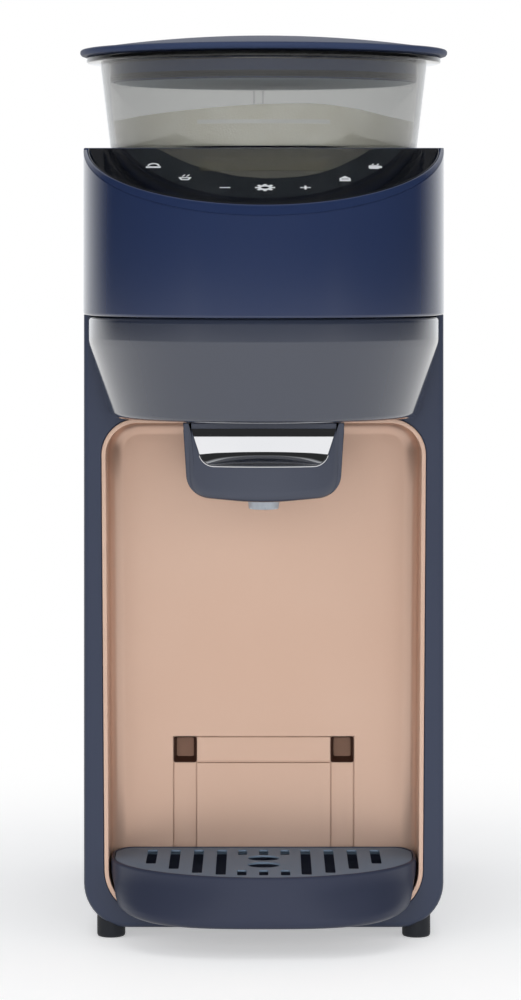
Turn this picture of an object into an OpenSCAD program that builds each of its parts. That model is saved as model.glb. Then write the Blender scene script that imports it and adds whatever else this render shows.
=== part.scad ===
// Baby formula maker. A column with an open bottle bay carries a round-fronted head.
// Powder drops from a clear container through a pocketed dosing wheel and a chute,
// hot water runs to the same funnel, and a bottle stands on the drip tray below.
// Millimetres, +Z up, the front faces -Y, origin on the table under the middle.

/* [Housing] */
// Width of the column and of the head
body_w = 160; // [150:1:180]
// Depth of the column from its front face to its back
column_d = 160; // [150:1:185]
// Height of the column from its underside to the head
column_h = 272.6; // [262:0.2:300]
// Wall of the moulded housings
wall = 2.6; // [2:0.1:3.4]
// Radius of the lower side corners of the column, seen from the front
base_corner_r = 20; // [12:1:26]
// Radius of the screw bosses
boss_r = 4; // [3.5:0.1:5]

/* [Feet] */
// Height of the gap under the body
foot_h = 4.6; // [3:0.1:8]
// Radius of a foot
foot_r = 6.3; // [4:0.1:8]
// Distance from the side of the column to the middle of a foot
foot_inset = 12; // [10:0.5:20]
// Height to which a front foot reaches into the rounded corner
foot_socket_h = 6.2; // [5:0.1:7]
// Wall of the sockets that hold the front feet
socket_wall = 1.6; // [1.2:0.1:1.8]

/* [Head] */
// Height of the head from the seam to the deck
head_h = 74.1; // [66:0.1:90]
// Fall of the control panel from its back edge to the front
panel_drop = 25.8; // [18:0.1:32]
// Height of the stepped band under the panel, at the front
band_h = 4.9; // [2:0.1:8]
// Depth of the step at the lower edge of that band
band_step = 0.5; // [0.3:0.1:1]
// Width of the rim round the glass panel
glass_rim = 1.6; // [1:0.1:3]
// Thickness of the glass panel
glass_t = 2.4; // [1.5:0.1:3]
// Width of the display window
display_w = 56; // [40:1:70]
// Length of the display window, down the slope
display_l = 18; // [12:1:24]
// Radius of the opening in the deck round the drive coupling
deck_hole_r = 11; // [10:0.5:14]

/* [Chin] */
// Height of the chin under the head
chin_h = 45.2; // [40:0.1:47]
// Inset of the chin's top edge from the head
chin_top_inset = 2.2; // [1:0.1:4]
// Inset of the chin's bottom edge from the head
chin_bottom_inset = 15.1; // [10:0.1:20]
// Height of the upright band at the top of the chin
chin_band_h = 7.2; // [4:0.1:12]
// Radius of the chin's lower edge
chin_edge_r = 4; // [2:0.5:6]

/* [Bottle bay] */
// Width of the bay at its top
bay_top_w = 140.4; // [120:0.2:146]
// Width of the bay at its bottom
bay_bottom_w = 137.2; // [120:0.2:146]
// Height of the bay
bay_h = 216.4; // [200:0.2:218]
// Height of the bay's floor edge over the underside of the column
bay_lift = 8; // [6:0.2:12]
// Depth of the bay
bay_d = 35; // [28:0.5:45]
// Radius of the bay's top corners
bay_top_r = 14; // [9:0.5:20]
// Radius of the bay's bottom corners
bay_bottom_r = 18; // [12:0.5:24]
// Radius of the hollow between the bay's walls and its back
bay_cove_r = 7; // [4:0.5:8]
// Wall of the bay liner
liner_t = 1.2; // [1:0.1:2]
// Width of the liner's bright rim
rim_w = 2; // [1.6:0.1:3]
// How far the rim stands in front of the column
rim_proud = 0.5; // [0.2:0.1:1]
// Width of a tray slot in the back of the bay
slot_w = 10.4; // [8:0.2:14]
// Distance from the middle plane to a tray slot
slot_x = 35.6; // [25:0.2:45]
// Height of the square window at the top of a slot
window_h = 11.7; // [9:0.1:15]
// Height of the window over the top of the lowered tray
window_lift = 38; // [30:0.5:60]
// Depth of a tray slot
slot_d = 2; // [1.5:0.1:3]
// Depth of a window
window_d = 5.6; // [4:0.1:8]

/* [Funnel drawer] */
// Width of the drawer and its rails
drawer_w = 69.4; // [66:0.2:76]
// Height of the drawer's front under the chin
drawer_h = 34; // [30:0.5:40]
// Radius of the drawer's lower corners
drawer_corner_r = 9; // [5:0.5:12]
// How far the drawer's foot sags in the middle
drawer_belly = 2; // [0.5:0.1:4]
// Thickness of the rails
rail_t = 2.4; // [2:0.1:3]
// Height of the finger recess in the drawer's front
pull_h = 18.6; // [14:0.2:22]
// Depth of the finger recess
pull_d = 9; // [7:0.5:12]
// Thickness of the bright plate in the recess
pull_plate_t = 1; // [0.8:0.1:1.5]
// Distance from the column's front face to the middle of the funnel
funnel_y = 13; // [12:0.5:20]
// Radius of the funnel's rim
funnel_r = 26; // [22:0.5:27]
// Radius of the funnel's outlet
funnel_tip_r = 6.6; // [4:0.1:8]
// Wall of the funnel
funnel_wall = 1.4; // [1:0.1:2]
// Height of the funnel's tip under the drawer
funnel_tip_h = 6.2; // [3:0.2:8]
/* [Powder container] */
// Height of the container with its flange
container_h = 43.4; // [38:0.2:60]
// Outer radius of the container at its foot
container_foot_r = 70.9; // [66:0.1:72]
// Outer radius of the container under its flange
container_top_r = 75.6; // [73:0.1:77]
// Wall of the container
container_wall = 2.5; // [2:0.1:3]
// Thickness of the container's floor
container_floor = 2.6; // [2:0.1:4]
// Outer radius of the flange
flange_r = 82; // [80:0.1:83]
// Thickness of the flange
flange_t = 2.8; // [2:0.1:4]
// Radius of the powder outlet
outlet_r = 8; // [6:0.5:9]
// Radius from the container's middle to the outlet and the pockets
pocket_circle_r = 58; // [54:0.5:59]

/* [Lid] */
// Outer radius of the lid
lid_r = 85; // [84:0.5:90]
// Height of the lid's rim
lid_rim_h = 3.4; // [2.5:0.1:5]
// Rise of the domed top over the rim
lid_dome_h = 6; // [3:0.5:12]
// Depth of the plug that reaches into the container
plug_d = 15.5; // [12:0.5:20]
// Wall of the lid
lid_wall = 2; // [1.5:0.1:3]
// Height of the gasket round the plug
gasket_h = 2.8; // [2:0.1:4]

/* [Dosing wheel] */
// Number of pockets in the wheel
pockets = 16; // [8:2:18]
// Radius of a pocket
pocket_r = 7; // [4:0.5:7.5]
// Thickness of the wheel
wheel_t = 8; // [6:0.5:12]
// Radius of the wheel's hub
hub_r = 12; // [11:0.5:15]
// Height of the hub over the wheel
hub_h = 3; // [3:0.5:8]
// Radius of the hexagonal drive dog
dog_r = 7; // [5:0.5:8]
// Height of the drive dog over the container's floor
dog_h = 6; // [4:0.5:7]
// Number of agitator arms
agitator_arms = 4; // [2:1:6]

/* [Drive] */
// Module of the gear teeth
gear_m = 1; // [1:0.1:1.2]
// Number of teeth on the driven gear
gear_teeth = 48; // [36:1:56]
// Number of teeth on the motor pinion
pinion_teeth = 14; // [12:1:18]
// Width of the gears
gear_w = 6; // [4:0.5:9]
// Radius of the drive spindle
spindle_r = 4; // [3:0.1:4.5]
// Radius of the drive motor
motor_r = 14; // [10:0.5:15]
// Length of the drive motor
motor_l = 34; // [24:1:40]

/* [Water tank] */
// Depth of the dock and the tank on it
dock_d = 70; // [60:1:80]
// Height of the dock under the tank, with the foot gap
dock_top_z = 110; // [90:1:130]
// Wall of the tank
tank_wall = 2.2; // [1.8:0.1:3]
// Radius of the tank's rear corners
tank_corner_r = 32; // [20:1:33]
// Height of the rim round the tank's foot
tank_seat = 6; // [3:0.5:10]
// Side and rear margin of the dock outside the tank
dock_rim = 3; // [2:0.1:5]
// Height of the tank's lid
tank_lid_h = 7; // [6:0.5:10]
// Radius of the valve bore in the tank's floor
valve_r = 7; // [5:0.1:9]
// Radius of the lid hinge pin
hinge_r = 1.5; // [1.2:0.1:2]

/* [Drip tray] */
// Height of the tray
tray_h = 22.6; // [16:0.2:28]
// Gap between the tray and the bay, on each side
tray_side_gap = 0.4; // [0.4:0.1:3]
// How far the tray stands in front of the column
tray_reach = 52.4; // [40:0.2:60]
// Wall of the tray
tray_wall = 2; // [1.6:0.1:3]
// Radius of the tray's lower side corners, seen from the front
tray_side_r = 17.8; // [10:0.2:20]
// Thickness of the drip grate
grate_t = 2.6; // [2:0.1:4]
// Width of a grate slot
grate_slot_w = 4.4; // [3:0.1:6]
// Distance between grate slots
grate_pitch = 10.4; // [8:0.2:11]
// Radius of the two round grate holes
grate_hole_r = 7; // [4:0.5:8]

/* [Hidden] */
$fn = 96;

// Gaps
contact = 0.3; // between moving pieces that only rest on or beside each other
running = 0.05; // round a shaft in its bore
eps = 0.01; // overlap of cutting tools
big = 400; // size of a half-space cut

// Colours, as the photograph shows them
navy = "#28375a";
slate = "#5a606c";
copper = "#d0ae9c";
smoke = "#aaabaa";
charcoal = "#3f4357";

// Plan
head_r = body_w / 2;
tank_gap = 1;
total_d = head_r + column_d + dock_d;
face_y = head_r - total_d / 2;
back_y = face_y + column_d;
container_y = back_y - lid_r;
tank_y = back_y + tank_gap;
dock_back = back_y + dock_d;
tank_back = dock_back - dock_rim;
nozzle_y = face_y - funnel_y;

// Heights
seam_z = foot_h + column_h;
deck_z = seam_z + head_h;
deck_under = deck_z - wall;
panel_angle = atan(panel_drop / head_r);
band_angle = atan((panel_drop + band_h) / head_r);
chin_z = seam_z - chin_h;
bay_z = foot_h + bay_lift;
bay_top_z = bay_z + bay_h;
bay_back_y = face_y + bay_d;

// Outlines ------------------------------------------------------------------

function unit(v) = v / norm(v);

// Points of one rounded corner. Each corner is [x, y, radius].
function corner(a, b, c, steps) =
    let (p = [b[0], b[1]],
         u = unit([a[0], a[1]] - p),
         v = unit([c[0], c[1]] - p),
         half = acos(u * v) / 2,
         mid = p + unit(u + v) * b[2] / sin(half),
         s = p + u * b[2] / tan(half) - mid,
         e = p + v * b[2] / tan(half) - mid,
         a0 = atan2(s[1], s[0]),
         turn = atan2(s[0] * e[1] - s[1] * e[0], s * e))
    b[2] == 0 ? [p]
        : [for (i = [0:steps]) let (a = a0 + turn * i / steps) mid + b[2] * [cos(a), sin(a)]];

// Closed outline with every corner rounded to its own radius
function rounded(c, steps = 6) =
    let (n = len(c))
    [for (i = [0:n - 1]) each corner(c[(i + n - 1) % n], c[i], c[(i + 1) % n], steps)];

// Outline of the bay in X and Z, grown by g. Negative g draws it in.
function bay_outline(g = 0) = rounded([
    [-bay_top_w / 2 - g, bay_top_z + g, bay_top_r + g],
    [bay_top_w / 2 + g, bay_top_z + g, bay_top_r + g],
    [bay_bottom_w / 2 + g, bay_z - g, bay_bottom_r + g],
    [-bay_bottom_w / 2 - g, bay_z - g, bay_bottom_r + g]]);

// Solid between outlines in X and Z that stand at growing Y
module loft(rings) {
    n = len(rings[0]);
    m = len(rings);
    sides = [for (k = [0:m - 2]) for (i = [0:n - 1])
        let (a = k * n + i, b = k * n + (i + 1) % n)
        each [[a, a + n, b], [b, a + n, b + n]]];
    caps = [[for (i = [0:n - 1]) i], [for (i = [n - 1:-1:0]) (m - 1) * n + i]];
    polyhedron([for (r = rings) each r], concat(sides, caps));
}

// The bay's space, with a hollow fillet round its back, grown by g on all sides
module bay_space(g = 0) {
    straight_d = bay_d - bay_cove_r;
    cove = [for (i = [0:4]) let (a = 90 * i / 4)
        [straight_d + (bay_cove_r + g) * sin(a), bay_cove_r * (1 - cos(a))]];
    depths = concat([[-rim_proud - eps, 0]], cove);
    loft([for (d = depths) [for (p = bay_outline(g - d[1])) [p[0], face_y + d[0], p[1]]]]);
}

// Extrudes an outline drawn in X and Z along Y
module along_y(y0, y1) {
    translate([0, y1, 0]) rotate([90, 0, 0]) linear_extrude(y1 - y0) children();
}

// Front outline of the column, drawn in by g
module column_outline(g = 0) {
    r = base_corner_r - g;
    x = body_w / 2 - g;
    translate([-x, foot_h + g + r]) square([2 * x, column_h - g - r]);
    translate([-x + r, foot_h + g]) square([2 * (x - r), r + eps]);
    for (s = [-1, 1]) translate([s * (x - r), foot_h + g + r]) circle(r);
}

// Plan of the head, drawn in by g
module head_plan(g = 0) {
    translate([0, face_y]) circle(head_r - g);
    translate([-head_r + g, face_y]) square([2 * (head_r - g), column_d - wall - g]);
}

// Half-space above the panel's slope, lowered by drop and tilted by angle
module above_slope(angle, drop = 0) {
    translate([0, face_y, deck_z - drop]) rotate([angle, 0, 0])
        translate([-big / 2, -big, 0]) cube([big, 1.1 * big, big]);
}

// Plan of the tank and dock: rounded rear corners, drawn in by g, reaching back to y1
module tank_plan(y0, y1, g = 0, w = body_w) {
    polygon(rounded([
        [-w / 2 + g, y0 + g, 3],
        [w / 2 - g, y0 + g, 3],
        [w / 2 - g, y1 - g, tank_corner_r - g],
        [-w / 2 + g, y1 - g, tank_corner_r - g]], 10));
}

// Housing -------------------------------------------------------------------

screw_z = [dock_top_z + 20, seam_z - 14];
screw_x = body_w / 2 - wall - boss_r + 0.4;
cavity_back = back_y - wall;

module body_shell() {
    color(navy) difference() {
        union() {
            difference() {
                along_y(face_y, cavity_back) column_outline();
                along_y(face_y + wall, cavity_back + eps) column_outline(wall);
                translate([-head_r + wall, face_y + wall, seam_z - 2 * wall])
                    cube([body_w - 2 * wall, column_d, 3 * wall]);
            }
            for (s = [-1, 1]) intersection() {
                translate([s * foot_place, face_y + foot_front, foot_h])
                    cylinder(r = foot_r + socket_wall, h = foot_socket_h + socket_wall);
                along_y(face_y + eps, cavity_back) column_outline(eps);
            }
            for (s = [-1, 1], z = screw_z) along_y(cavity_back - 16, cavity_back)
                translate([s * screw_x, z]) circle(boss_r);
        }
        for (s = [-1, 1]) translate([s * foot_place, face_y + foot_front, 0])
            cylinder(r = foot_r, h = foot_h + foot_socket_h);
        for (s = [-1, 1], z = screw_z) along_y(cavity_back - screw_l, cavity_back + eps)
            translate([s * screw_x, z]) circle(screw_r);
        along_y(face_y - eps, face_y + wall + eps) polygon(bay_outline(liner_t + 0.2));
        along_y(face_y - eps, face_y + rim_seat) polygon(bay_outline(rim_w + 0.1));
        translate([-chute_r - 1, face_y - eps, chin_z + 6])
            cube([2 * chute_r + 2, wall + 2 * eps, chin_h]);
    }
}

foot_place = body_w / 2 - foot_inset;
foot_front = foot_r + 0.7;
screw_r = 1.5;
screw_l = 10;
screw_head_r = 3;
screw_head_h = 2;
rim_seat = 1.2;

module bay_liner() {
    window_z = tray_top_z + window_lift;
    slot_z = tray_base_z + 2;
    slot_h = window_z + window_h - slot_z;
    color(copper) difference() {
        union() {
            difference() {
                bay_space(liner_t);
                translate([0, -eps, 0]) bay_space();
            }
            along_y(face_y - rim_proud, face_y + rim_seat) difference() {
                polygon(bay_outline(rim_w));
                polygon(bay_outline(-0.02));
            }
            for (s = [-1, 1]) translate([s * slot_x - slot_w / 2 - liner_t, bay_back_y, slot_z - liner_t])
                cube([slot_w + 2 * liner_t, slot_d + liner_t, slot_h + 2 * liner_t]);
            for (s = [-1, 1]) translate([s * slot_x - slot_w / 2 - liner_t, bay_back_y, window_z - liner_t])
                cube([slot_w + 2 * liner_t, window_d + liner_t, window_h + 2 * liner_t]);
        }
        for (s = [-1, 1]) {
            translate([s * slot_x - slot_w / 2, bay_back_y - eps, slot_z])
                cube([slot_w, slot_d + eps, slot_h]);
            translate([s * slot_x - slot_w / 2, bay_back_y - eps, window_z])
                cube([slot_w, window_d + eps, window_h]);
        }
        translate([-slot_x, bay_back_y - eps, window_z + 0.6]) cube([2 * slot_x, 0.6, window_h - 1.2]);
    }
}

module rear_cover() {
    vent_w = 70;
    vent_h = 3;
    color(navy) difference() {
        union() {
            along_y(cavity_back, back_y) column_outline();
            translate([-head_r, cavity_back, seam_z - eps]) cube([body_w, wall, head_h - wall + eps]);
        }
        for (i = [0:5]) translate([-vent_w / 2, cavity_back - eps, seam_z + 10 + i * 2.4 * vent_h])
            cube([vent_w, wall + 2 * eps, vent_h]);
        for (s = [-1, 1], z = screw_z) along_y(cavity_back - eps, back_y + eps)
            translate([s * screw_x, z]) circle(screw_r + 0.1);
        for (s = [-1, 1], z = screw_z) along_y(back_y - screw_head_h, back_y + eps)
            translate([s * screw_x, z]) circle(screw_head_r + 0.1);
        along_y(cavity_back - eps, back_y + eps) translate([pump_x, pump_z]) circle(hose_r + 2);
    }
}

module head_shell() {
    rim_in = 6;
    color(navy) difference() {
        union() {
            difference() {
                translate([0, 0, seam_z]) linear_extrude(head_h - wall) head_plan();
                above_slope(band_angle);
            }
            intersection() {
                translate([0, face_y, seam_z]) cylinder(r = head_r - band_step, h = head_h);
                translate([-big / 2, face_y - big, 0]) cube([big, big, big]);
            }
        }
        above_slope(panel_angle);
        translate([0, 0, seam_z + wall]) linear_extrude(head_h) head_plan(wall);
        translate([0, 0, seam_z - eps]) linear_extrude(head_h) head_plan(wall + rim_in);
        translate([-head_r + wall, face_y + eps, seam_z - eps])
            cube([body_w - 2 * wall, column_d, wall + 2 * eps]);
        translate([-head_r + wall, cavity_back - wall - 1, seam_z - eps])
            cube([body_w - 2 * wall, wall + 2, head_h]);
        intersection() {
            above_slope(panel_angle, glass_t / cos(panel_angle));
            translate([0, face_y, seam_z]) cylinder(r = glass_r + 0.15, h = head_h + 1);
            translate([-big / 2, face_y - big, 0]) cube([big, big, big]);
        }
    }
}

glass_r = head_r - band_step - glass_rim;

module panel_glass() {
    color("#14181d") intersection() {
        translate([0, face_y, seam_z]) cylinder(r = glass_r, h = head_h);
        translate([0, face_y, deck_z]) rotate([panel_angle, 0, 0])
            translate([-big / 2, -big, -glass_t]) cube([big, big, glass_t]);
        translate([-big / 2, face_y - big, 0]) cube([big, big - 0.1, big]);
    }
}

// Frame of the panel's slope: X across, Y up the slope from its back edge, Z out of the glass
module on_slope(y, z) {
    translate([0, face_y, deck_z]) rotate([panel_angle, 0, 0]) translate([0, y, z]) children();
}

display_t = 5;
display_y = -13;
board_t = 1.6;

module display_module() {
    color("#5b5d45") on_slope(display_y, -glass_t - display_t)
        translate([-display_w / 2 - 3, -display_l, 0]) cube([display_w + 6, display_l + 4, display_t]);
}

module control_board() {
    board_w = 110;
    board_l = 46;
    color("#2e5a3c") on_slope(display_y, -glass_t - display_t - board_t) {
        translate([-board_w / 2, -board_l + 6, 0]) difference() {
            cube([board_w, board_l, board_t]);
            for (x = [5, board_w - 5], y = [5, board_l - 5]) translate([x, y, -eps])
                cylinder(r = 1.6, h = 2 * board_t);
        }
        for (x = [-38, 0, 38]) translate([x - 5, -34, board_t - eps]) cube([10, 8, display_t + eps]);
        for (x = [-30, 12]) translate([x, -22, -4]) cube([16, 12, 4 + eps]);
    }
}

deck_hub_h = 8;
deck_hole_h = 6;

module top_deck() {
    seat_h = 1.2;
    hub_z = deck_under - deck_hub_h;
    color(navy) difference() {
        union() {
            translate([-head_r, face_y, deck_under]) cube([body_w, column_d, wall]);
            translate([0, container_y, hub_z]) cylinder(r = deck_hole_r + 3, h = deck_hub_h + eps);
        }
        translate([0, container_y, deck_under - deck_hole_h])
            cylinder(r = deck_hole_r, h = wall + deck_hole_h + eps);
        translate([0, container_y, hub_z - eps]) cylinder(r = spindle_r + running, h = 4);
        translate([0, container_y - pocket_circle_r, deck_under - eps])
            cylinder(r = outlet_r, h = wall + 2 * eps);
        translate([0, container_y, deck_z - seat_h]) difference() {
            cylinder(r = container_foot_r - 6, h = seat_h + eps);
            translate([0, 0, -eps]) cylinder(r = container_foot_r - 9, h = seat_h + 3 * eps);
        }
    }
}

// The chin is a turned shape, cut flat where it meets the column.
module chin_profile(g = 0) {
    top_r = head_r - chin_top_inset;
    low_r = head_r - chin_bottom_inset;
    polygon(rounded([
        [0, g, 0],
        [low_r - g, g, chin_edge_r - min(g, chin_edge_r - 1)],
        [top_r - g, chin_h - chin_band_h, 10 - g],
        [top_r - g, chin_h + (g > 0 ? 1 : 0), g > 0 ? 0 : 2.5],
        [0, chin_h + (g > 0 ? 1 : 0), 0]], 5));
}

module chin_cover() {
    color(slate) difference() {
        translate([0, face_y, chin_z]) rotate([0, 0, 180]) rotate_extrude(angle = 180) chin_profile();
        translate([0, face_y, chin_z]) rotate([0, 0, 179.9]) rotate_extrude(angle = 180.2) chin_profile(wall);
        translate([0, nozzle_y, chin_z - eps]) cylinder(r = funnel_r - 2, h = wall + 2 * eps);
    }
}

// Funnel drawer and what it runs in ------------------------------------------

drawer_z = chin_z - drawer_h;
drawer_front_r = head_r - chin_bottom_inset - 0.5;
rail_back = bay_back_y - 6;
rail_top = bay_top_z - contact;
tub_w = drawer_w - 2 * rail_t - 2 * contact;
tub_top = bay_top_z - 2.2;
tub_back = nozzle_y + funnel_r + 4.4;
lip = 2;
lip_z = drawer_z + 9;
front_t = pull_d + 3;

// The rounded front outline of the drawer in X and Z; its foot sags in the middle
module drawer_outline(g = 0) {
    belly_r = (pow(drawer_w / 2, 2) + pow(drawer_belly, 2)) / (2 * drawer_belly);
    intersection() {
        polygon(rounded([
            [-drawer_w / 2 + g, chin_z + 20, 0],
            [-drawer_w / 2 + 0.9 + g, drawer_z + g, drawer_corner_r - g],
            [drawer_w / 2 - 0.9 - g, drawer_z + g, drawer_corner_r - g],
            [drawer_w / 2 - g, chin_z + 20, 0]], 8));
        translate([0, drawer_z + belly_r]) circle(belly_r - g, $fn = 360);
    }
}

module drawer_rails() {
    front = face_y - drawer_front_r + front_t + contact;
    rim_y = face_y - rim_proud;
    color(slate) difference() {
        intersection() {
            union() {
                translate([-drawer_w / 2, front, drawer_z]) cube([drawer_w, rim_y - front, drawer_h]);
                translate([-drawer_w / 2, rim_y - eps, drawer_z])
                    cube([drawer_w, rail_back - rim_y, rail_top - drawer_z]);
            }
            along_y(front, rail_back) drawer_outline();
        }
        translate([-drawer_w / 2 + rail_t, front - eps, lip_z])
            cube([drawer_w - 2 * rail_t, rail_back - rail_t - front, drawer_h]);
        translate([-drawer_w / 2 + rail_t + lip, front - eps, drawer_z - eps])
            cube([drawer_w - 2 * rail_t - 2 * lip, rail_back - rail_t - front, drawer_h]);
    }
}

// Outline of the finger recess in X and Z, grown by g
module pull_outline(g = 0) {
    top = chin_z + 5;
    bottom = chin_z - pull_h;
    w = drawer_w / 2 - 3.2;
    polygon(rounded([
        [-w - g - 0.8, top, 0],
        [-w + 5.4 - g, bottom - g, 6.5 + g],
        [w - 5.4 + g, bottom - g, 6.5 + g],
        [w + g + 0.8, top, 0]], 6));
}

module funnel_drawer() {
    front = face_y - drawer_front_r;
    tub_floor = drawer_z + drawer_belly + 0.2;
    color(slate) difference() {
        union() {
            intersection() {
                translate([0, face_y, drawer_z]) cylinder(r = drawer_front_r, h = drawer_h - contact);
                along_y(front - 1, front + front_t) drawer_outline();
            }
            translate([-tub_w / 2, front + front_t - eps, lip_z + contact])
                cube([tub_w, tub_back - front - front_t, tub_top - lip_z - contact]);
            translate([-tub_w / 2 + lip + contact, front + front_t - eps, tub_floor])
                cube([tub_w - 2 * lip - 2 * contact, tub_back - front - front_t, lip_z - tub_floor + 1]);
        }
        along_y(front - 1, front + pull_d) pull_outline();
        translate([0, nozzle_y, tub_floor + 3]) cylinder(r = funnel_r - 1.6, h = drawer_h);
        translate([0, nozzle_y, tub_top - funnel_seat]) cylinder(r = funnel_r + 0.1, h = drawer_h);
        translate([0, nozzle_y, drawer_z - eps]) cylinder(r = funnel_neck_r + 0.6, h = tub_floor - drawer_z + 4);
    }
}

funnel_seat = 2;
funnel_neck_r = 8.2;

// A bright plate lines the recess and curls forward at its foot.
module pull_plate() {
    front = face_y - drawer_front_r;
    z0 = chin_z - pull_h;
    scoop_r = pull_d - pull_plate_t;
    color("#e8e8ea") intersection() {
        along_y(front - 1, front + pull_d) pull_outline(-0.05);
        translate([0, face_y, z0 - 1]) cylinder(r = drawer_front_r - 0.4, h = drawer_h);
        translate([-drawer_w / 2, front + pull_d, z0 + pull_d]) rotate([90, 0, 90]) linear_extrude(drawer_w)
            difference() {
                translate([-pull_d, -pull_d]) square([pull_d, pull_d + pull_h - scoop_r - 1.6]);
                translate([-pull_d, 0]) circle(scoop_r);
                translate([-pull_d - eps, 0]) square([scoop_r + eps, pull_h]);
            }
    }
}

module mixing_funnel() {
    top = tub_top - funnel_seat + 0.1;
    neck_z = drawer_z + 5;
    tip_z = drawer_z - funnel_tip_h;
    rim_t = 1.6;
    r = funnel_r;
    w = funnel_wall;
    color("#c3cad3") translate([0, nozzle_y, 0]) difference() {
        rotate_extrude() polygon([
            [0, tip_z], [funnel_tip_r, tip_z], [funnel_neck_r, neck_z],
            [r - 2.2, top - 3], [r - 2.2, top], [r - 0.1, top], [r - 0.1, top + rim_t],
            [r - 2.2 - w, top + rim_t], [r - 2.2 - w, top - 3], [funnel_neck_r - w, neck_z],
            [funnel_tip_r - w, tip_z + 1.2], [0, tip_z + 1.2]]);
        for (a = [30:120:270]) rotate([0, 0, a]) translate([2.6, 0, tip_z - eps]) cylinder(r = 1.2, h = 3);
    }
}

// Powder and water path --------------------------------------------------------

chute_r = 10;
chute_t = 1.5;
chute_low = chin_z + 1;

// A straight tube leans from the deck's outlet to the funnel.
module powder_chute() {
    y0 = container_y - pocket_circle_r;
    rise = deck_under - chute_low;
    lean = atan((y0 - nozzle_y) / rise);
    spare = 20;
    color("#c3cad3") difference() {
        intersection() {
            translate([0, nozzle_y, chute_low]) rotate([-lean, 0, 0]) translate([0, 0, -spare])
                cylinder(r = chute_r, h = rise + 2 * spare);
            translate([-chute_r - 1, nozzle_y - 2 * chute_r, chute_low])
                cube([2 * chute_r + 2, body_w, rise]);
        }
        translate([0, nozzle_y, chute_low]) rotate([-lean, 0, 0]) translate([0, 0, -spare - 1])
            cylinder(r = chute_r - chute_t, h = rise + 2 * spare + 2);
    }
}

hose_r = 3;
port_r = hose_r + 1.4;
spout_x = -17;
spout_top = seam_z - 20;

module water_spout() {
    color("#c3cad3") difference() {
        union() {
            translate([spout_x, nozzle_y, chin_z + 0.5])
                cylinder(r = hose_r + 1, h = spout_top - chin_z - 0.5);
            translate([spout_x - 1.5, nozzle_y, spout_top - 14]) cube([3, face_y - nozzle_y, 10]);
        }
        translate([spout_x, nozzle_y, chin_z]) cylinder(r = hose_r - 1, h = spout_top - chin_z + eps);
    }
}

// A hose of straight runs with a push-fit elbow ball at each bend
module hose(points, r = hose_r) {
    n = len(points);
    for (i = [0:n - 2]) {
        d = points[i + 1] - points[i];
        translate(points[i]) rotate([0, acos(d[2] / norm(d)), atan2(d[1], d[0])])
            cylinder(r = r, h = norm(d));
    }
    if (n > 2) for (i = [1:n - 2]) translate(points[i]) sphere(r = r + 1.2);
}

pump_x = -body_w / 2 + 40;
pump_z = 34;
pump_r = 17;
pump_l = 44;
pump_front = back_y + 12;
heater_x = -body_w / 2 + wall + 22;
heater_y = back_y - 50;
heater_z = foot_h + 60;
heater_l = 120;
heater_r = 18;
valve_y = (tank_y + tank_back) / 2;

module water_pump() {
    color("#6c7076") {
        translate([pump_x, pump_front + pump_l, pump_z]) rotate([90, 0, 0]) cylinder(r = pump_r, h = pump_l);
        translate([pump_x - 12, pump_front + 4, foot_h + wall])
            cube([24, pump_l - 8, pump_z - foot_h - wall - pump_r + 3]);
        translate([pump_x, pump_front + eps, pump_z]) rotate([90, 0, 0]) cylinder(r = port_r, h = 4 + eps);
        translate([pump_x + pump_r - 1, valve_y, pump_z]) rotate([0, 90, 0]) cylinder(r = port_r, h = 5);
    }
}

module flow_heater() {
    color("#b9bcc0") {
        translate([heater_x, heater_y, heater_z]) cylinder(r = heater_r, h = heater_l);
        for (z = [heater_z - 5, heater_z + heater_l - eps]) translate([heater_x, heater_y, z])
            cylinder(r = port_r, h = 5 + eps);
        for (z = [heater_z + 18, heater_z + heater_l - 30])
            translate([-body_w / 2 + wall, heater_y - 12, z]) cube([10, 24, 12]);
    }
}

module pump_hose() {
    color("#d8dade") hose([
        [0, valve_y, dock_top_z - 22],
        [0, valve_y, pump_z],
        [pump_x + pump_r + 4, valve_y, pump_z]]);
}

module heater_hose() {
    color("#d8dade") hose([
        [pump_x, pump_front - 4, pump_z],
        [pump_x, heater_y, pump_z],
        [heater_x, heater_y, pump_z],
        [heater_x, heater_y, heater_z - 5]]);
}

module spout_hose() {
    top = seam_z + 22;
    color("#d8dade") hose([
        [heater_x, heater_y, heater_z + heater_l + 5],
        [heater_x, heater_y, top],
        [heater_x, nozzle_y, top],
        [spout_x, nozzle_y, top],
        [spout_x, nozzle_y, spout_top]]);
}

module power_board() {
    x = body_w / 2 - wall - 6;
    y = back_y - 90;
    z = foot_h + 60;
    color("#2e5a3c") {
        translate([x, y, z]) cube([board_t, 70, 110]);
        for (b = [y + 6, y + 60], c = [z + 6, z + 100])
            translate([x + board_t - eps, b, c]) rotate([0, 90, 0]) cylinder(r = 2.5, h = 6 - board_t + eps);
    }
    color("#1c1d20") {
        translate([x - 22, y + 8, z + 10]) cube([22 + eps, 30, 34]);
        translate([x - 14, y + 42, z + 56]) rotate([0, 90, 0]) cylinder(r = 9, h = 14 + eps);
        translate([x - 10, y + 10, z + 62]) cube([10 + eps, 22, 30]);
    }
}

// Powder drive -----------------------------------------------------------------

gear_z = deck_under - deck_hub_h - gear_w - 2;
plate_z = gear_z - 4;
gear_r = gear_m * gear_teeth / 2;
pinion_r = gear_m * pinion_teeth / 2;
backlash = 0.16;
centre_d = gear_r + pinion_r + 0.1;
pressure_angle = 20;

function roll(rb, r) = r <= rb ? 0 : sqrt(r * r / (rb * rb) - 1) * 180 / PI;
function involute_turn(rb, r) = roll(rb, r) - atan(roll(rb, r) * PI / 180);

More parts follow.
